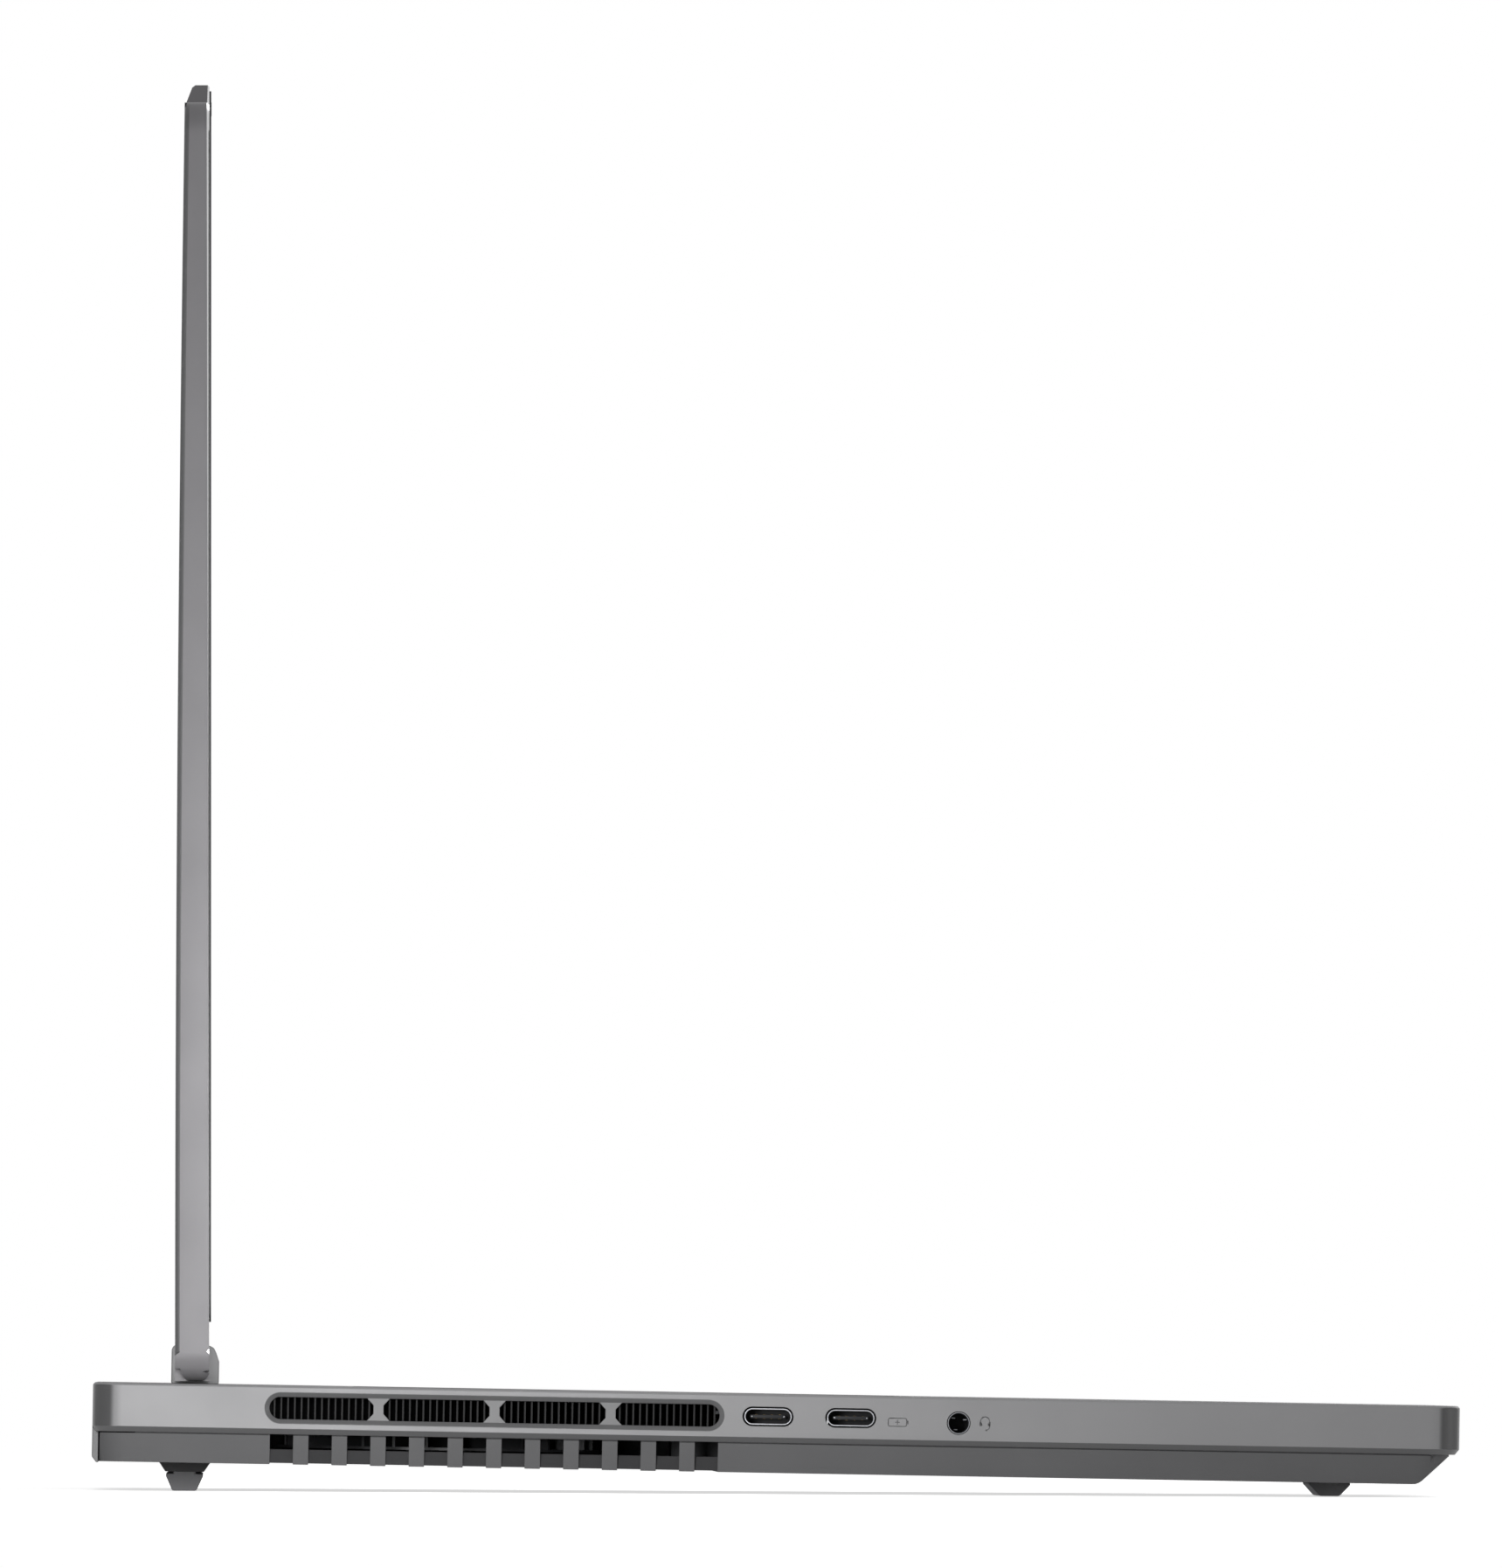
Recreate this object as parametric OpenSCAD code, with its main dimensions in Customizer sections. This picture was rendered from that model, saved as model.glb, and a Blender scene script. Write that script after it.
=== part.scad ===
// Notebook computer, opened to a right angle, built from the pieces it is assembled from.
// Millimetres. +X is the user's right, -Y faces the user, +Z is up.
// The origin lies on the table, under the middle of the machine's footprint.
// Pieces of the base are drawn on the deck plane, which the taller rear foot tilts forward.
// Pieces of the lid are drawn about the hinge axis, with the display standing upright.

/* [Base] */
// Width of the base and of the lid
base_w = 345; // [335:1:370]
// Depth of the base
base_d = 254.5; // [250:0.5:270]
// Plan radius of the base corners
corner_r = 5.5; // [4:0.5:8]
// Upright height of the upper case's side band
side_band_h = 8.1; // [8:0.1:9]
// Height of the chamfer under the side band
band_chamfer_h = 1; // [0.6:0.1:1.2]
// How far that chamfer runs inwards
band_chamfer_in = 0.8; // [0.4:0.1:1]
// Chamfer along the top edge of the deck
edge_chamfer = 0.4; // [0.2:0.1:0.6]
// Thickness of the deck
deck_t = 1.2; // [1:0.1:1.3]
// Thickness of the upper case's side walls
case_wall = 1.6; // [1.4:0.1:1.8]

/* [Bottom cover] */
// Open seam between the upper case and the bottom cover
seam_gap = 0.2; // [0.1:0.1:0.4]
// Height of the bottom cover
cover_h = 5.4; // [5:0.1:6]
// Thickness of the bottom cover
cover_t = 1.2; // [1:0.1:1.4]
// Step from the side band in to the cover's side
cover_step = 0.9; // [0.8:0.1:1.2]
// How far the cover's sides lean inwards
cover_lean = 1.2; // [0.8:0.1:1.3]
// How far the sloping front of the cover runs back
front_slope = 5.8; // [5:0.1:7]
// Step from the front of the base to the top of that slope
front_step = 1.8; // [1.4:0.1:2.2]

/* [Rear trim] */
// Thickness of the rear trim
trim_t = 1.2; // [1:0.1:1.5]
// Height of the rear trim below the deck
trim_drop = 14.9; // [14.7:0.1:15.5]
// Slit between the rear trim and the bottom cover
trim_slit = 0.2; // [0.2:0.05:0.5]

/* [Feet] */
// Distance from the rear edge to the middle of the rear foot
rear_foot_in = 17.3; // [16:0.1:19]
// Distance from the front edge to the middle of the front foot
front_foot_in = 22; // [21:0.1:29]
// How far the rear foot stands below the bottom cover, with its pedestal
rear_foot_h = 5.3; // [4.5:0.1:6]
// How far the front foot stands below the bottom cover
front_foot_h = 2.67; // [2:0.01:3.2]
// Height of the rear foot's pedestal
pedestal_h = 1.75; // [1.4:0.05:2]
// Length of the rear foot
rear_foot_l = 250; // [220:1:270]
// Length of the front foot
front_foot_l = 80; // [60:1:200]

/* [Lid] */
// Angle between the display and the deck
open_angle = 91; // [88:0.5:100]
// Distance from the rear edge of the base to the hinge axis
hinge_in = 19; // [18:0.1:21]
// Height of the hinge axis above the deck
hinge_h = 3; // [2.95:0.05:3.2]
// Distance from the hinge axis down to the lid's lower edge
lid_chin = 2.5; // [2.3:0.1:2.6]
// Distance from the hinge axis forward to the lid's front face
lid_front = 2.55; // [2.45:0.05:2.6]
// Thickness of the lid at the hinge
lid_t_low = 6.35; // [6.1:0.05:6.4]
// Thickness of the lid at its far edge
lid_t_high = 4.6; // [4.5:0.05:4.8]
// Radius of the lid's corners
lid_corner_r = 5.5; // [4:0.5:7]
// Thickness of the lid's shell
lid_wall = 1.1; // [1:0.05:1.15]
// Width of the lid's rim beside the display pocket
lid_rim = 3; // [2.6:0.1:3.4]
// Thickness of the rubber gasket
gasket_t = 0.35; // [0.3:0.05:0.4]
// Width of the rubber gasket
gasket_w = 2; // [1.6:0.1:2.2]

/* [Display] */
// Space between the picture and each side of the lid
picture_side = 7.75; // [7.5:0.25:15]
// Space between the picture and the top edge of the lid
picture_in = 9.5; // [9:0.5:20]
// Thickness of the display panel
panel_t = 2.2; // [1.8:0.1:2.25]
// Width of the camera ledge above the lid's edge
ledge_w = 116; // [70:1:130]
// Height of the camera ledge
ledge_h = 5.2; // [4:0.1:5.6]

/* [Hinges] */
// Distance from the middle of the machine to the middle of each hinge
hinge_x = 100; // [90:1:108]
// Length of a hinge housing
hinge_l = 58; // [50:1:62]
// Radius of the hinge pin
pin_r = 1.1; // [1:0.05:1.2]
// Radial running clearance of the hinge pin
pin_clear = 0.06; // [0.04:0.01:0.08]

/* [Keyboard] */
// Space between the keyboard and each side of the case
keyboard_side = 13; // [12.2:0.1:18]
// Depth of one key row, key and gap together
key_v = 17.9; // [17:0.1:18.5]
// Depth of the function row
function_v = 11.5; // [10:0.5:12.5]
// Width of a number pad key against a letter key
pad_ratio = 0.864; // [0.82:0.002:0.89]
// Gap between two keys
key_gap = 2.6; // [2.2:0.1:3]
// Gap between the main block and the number pad
pad_gap = 3; // [2:0.1:4]
// Travel of a key
key_travel = 1.5; // [1.2:0.1:1.6]
// Thickness of a keycap
key_t = 1.4; // [1.2:0.1:1.6]
// Distance from the rear edge of the base to the keyboard
keyboard_in = 50; // [48:0.5:54]

/* [Touchpad and button] */
// Width of the touchpad
touchpad_w = 120; // [100:1:130]
// Depth of the touchpad
touchpad_d = 75; // [65:1:78]
// Travel of the touchpad at a click
touchpad_travel = 0.35; // [0.2:0.05:0.4]
// Radius of the power button
button_r = 5.5; // [4.5:0.1:6.5]

/* [Vents] */
// Length of a side vent's bezel
vent_l = 85.4; // [78:0.1:88]
// Height of a side vent's bezel
vent_h = 5.75; // [5.5:0.05:6]
// Distance from the rear edge of the base to the middle of a side vent
vent_in = 74.8; // [72:0.1:77]
// Distance between the ribs of a side vent
vent_rib_pitch = 21.6; // [20:0.1:23]
// Number of slots in the louvre on each side of the bottom cover
louvre_count = 12; // [8:1:12]
// Distance between these slots
louvre_pitch = 7.19; // [6.8:0.01:7.3]
// Width of one of these slots
louvre_w = 4.31; // [3.6:0.01:4.6]
// Distance between two heat sink fins
fin_pitch = 1.26; // [1.2:0.01:1.5]

/* [Fans] */
// Radius of a fan rotor
rotor_r = 31; // [27:0.5:32]
// Number of blades of a fan rotor
blade_count = 29; // [19:2:33]
// Radial running clearance of a fan rotor on its post
rotor_clear = 0.06; // [0.04:0.01:0.08]

/* [Ports] */
// Distance from the rear edge to the rear one of the two small oval ports on the left
oval_port_1_in = 125.7; // [124:0.1:128]
// Distance from the rear edge to the front one of these ports
oval_port_2_in = 141.1; // [139:0.1:144]
// Distance from the rear edge to the headphone jack
jack_in = 161.2; // [157:0.1:165]
// Radius of the headphone jack's bore
jack_r = 1.75; // [1.7:0.05:1.8]

/* [Hidden] */

$fn = 64;

// Half sizes of the base
hw = base_w / 2;
hd = base_d / 2;

// Clearance between two pieces of one body, and between two that move apart
seat_clear = 0.2;
move_clear = 0.3;
// Overrun of a cut past the face it opens
cut = 1;

// Heights on the deck plane: the deck's top is 0 and everything below it is negative
case_h = side_band_h + band_chamfer_h;
cover_top = -case_h - seam_gap;
cover_bottom = cover_top - cover_h;
floor_z = cover_bottom + cover_t;

// The two feet set the tilt of the base and its height above the table
rear_foot_y = hd - rear_foot_in;
foot_neck = 2;
neck_rear_h = 0.9;
neck_front_h = 0.6;
front_foot_y = -hd + front_foot_in;
tilt = atan((rear_foot_h - front_foot_h) / (rear_foot_y - front_foot_y));
deck_h = (rear_foot_h - cover_bottom) * cos(tilt) - rear_foot_y * sin(tilt);

// Rear trim
trim_bevel = 1.05;
trim_bevel_in = 0.8;
trim_top = -1.5;
trim_w = base_w - 2 * corner_r - 2;

// The origin is under the middle of the footprint, so the tilted base is moved back by this
rear_reach = hd * cos(tilt) + (trim_drop - trim_bevel) * sin(tilt);
front_reach = hd * cos(tilt) - edge_chamfer * sin(tilt);
shift_y = (front_reach - rear_reach) / 2;

// Hinge axis
hinge_y = hd - hinge_in;
lid_top = base_d - hinge_in;
lid_back = lid_t_low - lid_front;
lid_thinning = lid_t_low - lid_t_high;

// Trough in the deck that the lid's lower edge turns in
trough_r = sqrt(lid_back * lid_back + lid_chin * lid_chin) + 0.35;
trough_wall = 1;
trough_end = 6;

// Hinge housings and the notches they stand in
housing_back = 4.5;
housing_front = 4.42;
housing_top = 4.15;
housing_wall = 0.9;
notch_gap = 0.5;
notch_h = 6.1;
knuckle_r = 2.4;
knuckle_l = 16;
bracket_foot_l = 34;
bracket_foot_t = 1;
arm_r = pin_r + 0.6;
arm_l = 14;
arm_plate_l = 22;
arm_plate_h = 58;
arm_t = 1;

// Lid pockets
chin_strip_t = 0.7;
chin_strip_top = 8.4;
chin_strip_in = 1.5;
chin_strip_low = -lid_chin + chin_strip_in;
chin_strip_h = chin_strip_top - chin_strip_low - 2 * seat_clear;
chin_strip_z = (chin_strip_top + chin_strip_low) / 2;
chin_floor = lid_chin - 0.65;
pocket_low = 9.2;
bezel_t = 1;
picture_w = base_w - 2 * picture_side;
picture_low = 20;
picture_h = lid_top - picture_low - picture_in;
panel_edge = 4;
panel_front = lid_front - bezel_t - 0.05;
ledge_slope = 4;

// Keyboard: rows of key widths in units, from the rear to the front
function_row = [1, 1, 1, 1, 1, 1, 1, 1, 1, 1, 1, 1, 1, 1.5];
number_row = [1, 1, 1, 1, 1, 1, 1, 1, 1, 1, 1, 1, 1, 1.5];
upper_row = [1.5, 1, 1, 1, 1, 1, 1, 1, 1, 1, 1, 1, 1, 1];
middle_row = [1.75, 1, 1, 1, 1, 1, 1, 1, 1, 1, 1, 1, 1.75];
lower_row = [2.25, 1, 1, 1, 1, 1, 1, 1, 1, 1, 1, 1.25, 1];
modifier_row = [1.25, 1, 1, 1, 5.25, 1, 1, 1, 1, 1];
space_index = 4;
pad_row = [1, 1, 1, 1];
pad_last_row = [2, 1, 1];
row_units = 14.5;
pad_units = 4;

keys_w = base_w - 2 * keyboard_side;
key_u = (keys_w - pad_gap) / (row_units + pad_units * pad_ratio);
pad_u = key_u * pad_ratio;
keys_left = -keys_w / 2;
pad_left = keys_left + row_units * key_u + pad_gap;
keys_rear = hd - keyboard_in;
keys_d = function_v + 5 * key_v;
key_corner = 0.9;
key_side_clear = 0.3;
key_top = -0.15;
well_margin = 1.2;
frame_lap = 2.4;
frame_t = 0.8;
plate_t = 0.6;
plate_top = key_top - key_t - key_travel - 0.25;

// Touchpad
touchpad_gap = 8;
touchpad_y = keys_rear - keys_d - touchpad_gap - touchpad_d / 2;
touchpad_top = -0.1;
touchpad_t = 1.7;
bracket_lap = 3;
bracket_t = 0.6;
bracket_top = touchpad_top - touchpad_t - touchpad_travel - 0.2;

// Power button
button_y = keys_rear + 13;
button_top = -0.1;
button_t = 2.2;
button_gap = 0.3;

// Side vents
vent_z = -4.2;
vent_y = hd - vent_in;
vent_bevel = 0.8;
vent_depth = 2.2;
vent_rib_waist = 1.9;
vent_rib_foot = 4.4;
louvre_through = 2.6;
recess_in = cover_step + cover_lean + 0.45;
field_h = 0.25;
lip_h = 0.25;
lip_in = case_wall + move_clear;
lip_t = 0.7;
front_round = 2.4;

// Fans and heat sinks
fan_x = hw - 50;
fan_half_x = 35;
fan_front = vent_y - vent_l / 2 + 9;
fan_rear = hinge_y - 2;
fan_y = (fan_front + fan_rear) / 2;
fan_top = -4.6;
fan_bottom = -13;
fan_sheet = 0.6;
post_r = 1.5;
hub_r = 9;
blade_t = 0.5;
rotor_gap = 0.8;
sink_side_in = 2.5;
sink_side_d = 6.5;
sink_side_top = -1.8;
sink_side_bottom = -9;
sink_rear_front = fan_rear + 0.5;
sink_rear_back = hd - trim_t - 2;
sink_rear_bottom = -11;
fin_t = 0.3;
sink_sheet = 0.4;

// Boards and what they carry
board_top = -5.95;
board_t = 1;
board_bottom = board_top - board_t;
board_reach = 173;
board_front = hd - board_reach;
board_rear = hd - 3.6;
board_half = fan_x - fan_half_x - 3.5;
board_side_in = 4;
board_step = vent_y - vent_l / 2;
chip_h = 1.4;
memory_l = 67.6;
memory_d = 30;
drive_l = 60;
wireless_l = 26;
card_d = 22;
card_t = 0.8;
pipe_top = sink_rear_bottom;
pipe_h = 2;
pipe_w = 5;

// Battery and speakers
battery_top = -5.5;
battery_bottom = -13.2;
battery_rear = board_front - 4;
battery_front = -hd + 14;
speaker_w = 44;
speaker_x = hw - 12.5 - speaker_w / 2;
speaker_top = -4;
battery_half = hw - 12.5 - speaker_w - 6;

// Screw bosses of the upper case, in mirrored pairs
boss_r = 2.4;
screw_r = 1;
screw_head_r = 2;
screw_head_t = 0.7;
screw_l = 6;
boss_in = 6;
boss_points = [
    [hw - boss_in, hinge_y - 7],
    [hw - boss_in, hd - (oval_port_2_in + jack_in) / 2],
    [board_half - 8, keys_rear - keys_d - well_margin - frame_lap - boss_r - 0.7],
    [hw - boss_in, battery_rear - 1],
    [hw - boss_in, -hd + 15.5]
];

// Ports
oval_w = 8.94;
oval_h = 3.16;
oval_wall = 0.3;
oval_gap = 0.22;
port_gap = 0.2;
port_corner = 0.3;
port_in = 0.15;
oval_depth = 7.6;
oval_z = board_top + oval_h / 2 + 0.15;
jack_z = -4.8;
jack_ring = 0.3;
jack_l = 12;
flat_w = 13.2;
flat_h = 5.6;
flat_depth = 13;
flat_right_in = 133;
flat_right_y = hd - flat_right_in;
flat_right_z = board_top + flat_h / 2 - 1.2;
flat_right_depth = hw - port_in - keys_w / 2 - well_margin - frame_lap - move_clear;
switch_in = 160;
switch_y = hd - switch_in;
switch_l = 4;
switch_h = 1.7;
switch_travel = 1.2;
rear_port_z = board_bottom - flat_h / 2;
flat_rear_x = [-26, -5];
oval_rear_x = 14;
video_x = 34;
video_w = 15;
video_h = 5;
inlet_x = 58;
inlet_w = 11.6;
inlet_h = 5.2;

// ---------- placing ----------

// On the deck plane of the tilted base
module on_deck() {
    translate([0, shift_y, deck_h]) rotate([tilt, 0, 0]) children();
}

// About the hinge axis, with the display upright in its own frame
module on_lid() {
    on_deck() translate([0, hinge_y, hinge_h]) rotate([90 - open_angle, 0, 0]) children();
}

// Mirrored copy on the other side of the machine when side is -1
module to_side(side) {
    if (side < 0) {
        mirror([1, 0, 0]) children();
    } else {
        children();
    }
}

module both_sides() {
    children();
    mirror([1, 0, 0]) children();
}

// ---------- shapes ----------

module block(x0, x1, y0, y1, z0, z1) {
    translate([x0, y0, z0]) cube([x1 - x0, y1 - y0, z1 - z0]);
}

// Extrudes an outline drawn in Y and Z along X, centred
module along_x(l) {
    rotate([90, 0, 90]) linear_extrude(l, center = true) children();
}

// Extrudes an outline drawn in X and Z along Y, centred
module along_y(l) {
    rotate([90, 0, 0]) linear_extrude(l, center = true) children();
}

module bore_x(r, x0, x1) {
    translate([x0, 0, 0]) rotate([0, 90, 0]) cylinder(r = r, h = x1 - x0);
}

// Rectangle with true round corners, centred
module round_rect(w, h, r) {
    square([w - 2 * r, h], center = true);
    square([w, h - 2 * r], center = true);
    for (sx = [-1, 1], sy = [-1, 1]) {
        translate([sx * (w / 2 - r), sy * (h / 2 - r)]) circle(r);
    }
}

// Rectangle with small flat corners, centred
module cut_rect(w, h, c) {
    polygon([
        [-w / 2 + c, -h / 2], [w / 2 - c, -h / 2], [w / 2, -h / 2 + c], [w / 2, h / 2 - c],
        [w / 2 - c, h / 2], [-w / 2 + c, h / 2], [-w / 2, h / 2 - c], [-w / 2, -h / 2 + c]
    ]);
}

// Opening round a flat socket
module port_mouth(w, h) {
    cut_rect(w + 2 * port_gap, h + 2 * port_gap, port_corner);
}

// Slot outline with round ends, centred
module stadium(l, h) {
    square([l - h, h], center = true);
    for (s = [-1, 1]) {
        translate([s * (l - h) / 2, 0]) circle(h / 2);
    }
}

// Slab with round plan corners. edge lists [inset, z] down its side, from the top to the bottom.
module rounded_slab(w, d, r, edge) {
    last = len(edge) - 1;
    rim = [for (p = edge) [-p[0], p[1]]];
    back = [for (i = [last:-1:0]) [edge[i][0], edge[i][1]]];
    along_x(w - 2 * r) polygon(concat(
        [for (p = rim) [d / 2 + p[0], p[1]]], [for (p = back) [-d / 2 + p[0], p[1]]]));
    along_y(d - 2 * r) polygon(concat(
        [for (p = rim) [w / 2 + p[0], p[1]]], [for (p = back) [-w / 2 + p[0], p[1]]]));
    for (sx = [-1, 1], sy = [-1, 1]) {
        translate([sx * (w / 2 - r), sy * (d / 2 - r), 0]) rotate_extrude() polygon(concat(
            [[0, edge[0][1]]], [for (p = rim) [r + p[0], p[1]]], [[0, edge[last][1]]]));
    }
}

// ---------- upper case ----------

// The lid turns in this trough, which stops at the hinge housings and short of the sides
module trough_runs(r, grow) {
    inner = hinge_x - hinge_l / 2;
    outer = hinge_x + hinge_l / 2;
    translate([0, hinge_y, hinge_h]) {
        bore_x(r, -inner - grow, inner + grow);
        both_sides() bore_x(r, outer - grow, hw - trough_end + grow);
    }
}

module case_cuts() {
    well_w = keys_w + 2 * well_margin;
    well_d = keys_d + 2 * well_margin;
    // Keyboard well, touchpad opening and power button hole
    translate([0, keys_rear - keys_d / 2, -deck_t - cut])
        linear_extrude(deck_t + 2 * cut) cut_rect(well_w, well_d, 2);
    translate([0, touchpad_y, -deck_t - cut])
        linear_extrude(deck_t + 2 * cut)
            round_rect(touchpad_w + 2 * move_clear, touchpad_d + 2 * move_clear, 3);
    translate([0, button_y, -deck_t - cut]) cylinder(r = button_r + button_gap, h = deck_t + 2 * cut);
    // Lid trough and the slots that the hinge brackets pass through
    trough_runs(trough_r, 0);
    both_sides() block(hinge_x - knuckle_l / 2 - seat_clear, hinge_x + knuckle_l / 2 + seat_clear,
        hinge_y - 1.1, hinge_y + 1.1, -deck_t - cut, cut);
    // Side vents
    both_sides() translate([hw, vent_y, vent_z]) along_x(4 * case_wall) stadium(vent_l, vent_h);
    // Ports on the left side
    for (y = [hd - oval_port_1_in, hd - oval_port_2_in]) {
        translate([-hw, y, oval_z]) along_x(4 * case_wall)
            stadium(oval_w + 2 * oval_gap, oval_h + 2 * oval_gap);
    }
    translate([-hw, hd - jack_in, jack_z]) bore_x(jack_r + jack_ring + 0.1, -case_wall * 2, case_wall * 2);
    // Port and shutter switch on the right side
    translate([hw, flat_right_y, flat_right_z])
        along_x(4 * case_wall) port_mouth(flat_w, flat_h);
    translate([hw, switch_y, jack_z + 0.3])
        along_x(4 * case_wall) stadium(switch_l + 2 * switch_travel + 1.2, switch_h + 2 * move_clear);
    // Rear opening that the trim closes
    block(-trim_w / 2, trim_w / 2, hd - 3 * case_wall, hd + cut, -case_h - cut, trim_top);
    // Screw holes in the bosses
    both_sides() for (p = boss_points) {
        translate([p[0], p[1], floor_z - cut]) cylinder(r = screw_r + 0.05, h = screw_l + cut);
    }
}

module top_case() {
    color([0.56, 0.56, 0.57]) on_deck() difference() {
        union() {
            difference() {
                rounded_slab(base_w, base_d, corner_r, [
                    [edge_chamfer, 0], [0, -edge_chamfer], [0, -side_band_h],
                    [band_chamfer_in, -case_h]
                ]);
                rounded_slab(base_w - 2 * case_wall, base_d - 2 * case_wall, corner_r - case_wall, [
                    [0, -deck_t], [0, -case_h - cut]
                ]);
            }
            intersection() {
                trough_runs(trough_r + trough_wall, trough_wall);
                block(-hw, hw, hinge_y - 9, hinge_y + 9, -9, -deck_t / 2);
            }
            both_sides() for (p = boss_points) {
                translate([p[0], p[1], floor_z]) cylinder(r = boss_r, h = -floor_z - deck_t / 2);
            }
        }
        case_cuts();
    }
}

// ---------- rear trim ----------

// Row of upright openings between x0 and x1 in the trim
module exhaust_cells(x0, x1) {
    pitch = 7.5;
    rib = 1.5;
    count = floor((x1 - x0 + rib) / pitch);
    start = (x0 + x1) / 2 - (count * pitch - rib) / 2;
    for (i = [0:count - 1]) {
        block(start + i * pitch, start + (i + 1) * pitch - rib, hd - 2 * trim_t, hd + cut,
            sink_rear_bottom + 0.6, fan_top - 0.6);
    }
}

module rear_trim() {
    color([0.30, 0.30, 0.31]) on_deck() difference() {
        along_x(trim_w) polygon([
            [hd - trim_t, trim_top], [hd, trim_top], [hd, -trim_drop + trim_bevel],
            [hd - trim_bevel_in, -trim_drop], [hd - trim_t, -trim_drop]
        ]);
        both_sides() exhaust_cells(fan_x - fan_half_x, fan_x + fan_half_x);
        for (x = flat_rear_x) {
            translate([x, hd, rear_port_z]) along_y(4 * trim_t) port_mouth(flat_w, flat_h);
        }
        translate([oval_rear_x, hd, rear_port_z]) along_y(4 * trim_t)
            stadium(oval_w + 2 * oval_gap, oval_h + 2 * oval_gap);
        translate([video_x, hd, rear_port_z]) along_y(4 * trim_t) port_mouth(video_w, video_h);
        translate([inlet_x, hd, rear_port_z]) along_y(4 * trim_t) port_mouth(inlet_w, inlet_h);
    }
}

// ---------- side vents ----------

// Bezel let into the side wall, with a bevelled mouth and three ribs pinched at the middle
module side_vent(side) {
    mouth_h = vent_h - 2 * vent_bevel;
    mouth_l = vent_l - 2 * vent_bevel;
    rib_bottom = vent_z - mouth_h / 2 - 0.1;
    rib_top = vent_z + mouth_h / 2 + 0.1;
    color([0.45, 0.45, 0.46]) on_deck() to_side(side) {
        difference() {
            translate([hw - vent_depth / 2, vent_y, vent_z]) along_x(vent_depth) stadium(vent_l, vent_h);
            translate([hw, vent_y, vent_z]) along_x(4 * vent_depth) stadium(mouth_l, mouth_h);
            translate([hw, vent_y, vent_z]) {
                for (s = [-1, 1]) {
                    translate([-vent_bevel, s * (vent_l - vent_h) / 2, 0]) rotate([0, 90, 0])
                        cylinder(r1 = mouth_h / 2, r2 = vent_h / 2 + 0.02, h = vent_bevel + 0.02);
                }
                along_y(vent_l - vent_h) polygon([
                    [0.02, vent_h / 2 + 0.02], [-vent_bevel, mouth_h / 2],
                    [-vent_bevel, -mouth_h / 2], [0.02, -vent_h / 2 - 0.02]
                ]);
            }
        }
        for (i = [-1:1]) {
            translate([hw - (vent_bevel + vent_depth) / 2, vent_y + i * vent_rib_pitch, 0])
                along_x(vent_depth - vent_bevel) polygon([
                    [-vent_rib_foot / 2, rib_bottom], [vent_rib_foot / 2, rib_bottom],
                    [vent_rib_waist / 2, vent_z - 0.8], [vent_rib_waist / 2, vent_z + 0.8],
                    [vent_rib_foot / 2, rib_top], [-vent_rib_foot / 2, rib_top],
                    [-vent_rib_waist / 2, vent_z + 0.8], [-vent_rib_waist / 2, vent_z - 0.8]
                ]);
        }
    }
}

module side_vent_left() side_vent(-1);
module side_vent_right() side_vent(1);

// ---------- bottom cover ----------

cover_front = -hd + front_step;
cover_rear = hd - trim_t - trim_slit;

// Y of the cover's sloping front at a height
function slope_y(z) = cover_front + (cover_top - z) * front_slope / cover_h;

// The slope runs into the bottom over a round of this size, which starts at round_y
slope_angle = atan(cover_h / front_slope);
round_y = slope_y(cover_bottom) + front_round * tan(slope_angle / 2);

// Low lip on the cover's rim, inside the wall of the upper case
module cover_lip() {
    translate([0, 0, cover_top - 0.05]) linear_extrude(lip_h + 0.05) difference() {
        round_rect(base_w - 2 * lip_in, base_d - 2 * lip_in, corner_r - lip_in);
        round_rect(base_w - 2 * (lip_in + lip_t), base_d - 2 * (lip_in + lip_t), corner_r - lip_in - lip_t);
        translate([0, hd]) square([base_w, 16], center = true);
    }
}

// Outer form, with leaning sides and a sloping front
module cover_form() {
    difference() {
        translate([0, (cover_front + cover_rear + cover_lean) / 2, 0])
            rounded_slab(base_w - 2 * cover_step, cover_rear + cover_lean - cover_front, corner_r + cover_lean, [
                [0, cover_top], [cover_lean, cover_bottom]
            ]);
        // Upright rear face along the slit
        block(-hw, hw, cover_rear, hd + cut, cover_bottom - cut, cover_top + cut);
        along_x(base_w) polygon(concat(
            [[slope_y(cover_top + cut), cover_top + cut]],
            [for (i = [3:-1:0]) let (a = slope_angle * i / 3)
                [round_y - front_round * sin(a), cover_bottom + front_round * (1 - cos(a))]],
            [[round_y, cover_bottom - cut], [slope_y(cover_top + cut) - cut, cover_bottom - cut]]
        ));
    }
}

// Upright-walled hollow of the cover
module cover_hollow() {
    half = hw - cover_step - cover_lean - cover_t;
    slope_wall = 1.8;
    rear = cover_rear - cover_t;
    intersection() {
        along_x(2 * half) polygon([
            [slope_y(cover_top + cut) + slope_wall, cover_top + cut], [rear, cover_top + cut],
            [rear, floor_z], [slope_y(floor_z) + slope_wall, floor_z]
        ]);
        translate([0, (cover_front + cover_rear) / 2, cover_bottom - cut]) linear_extrude(cover_h + 3 * cut)
            cut_rect(2 * half, cover_rear - cover_front, corner_r);
    }
}

module foot_groove(l, y, z, depth) {
    half = foot_neck + seat_clear;
    block(-l / 2, l / 2, y - half, y + half, z - cut, z + depth);
}

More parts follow.
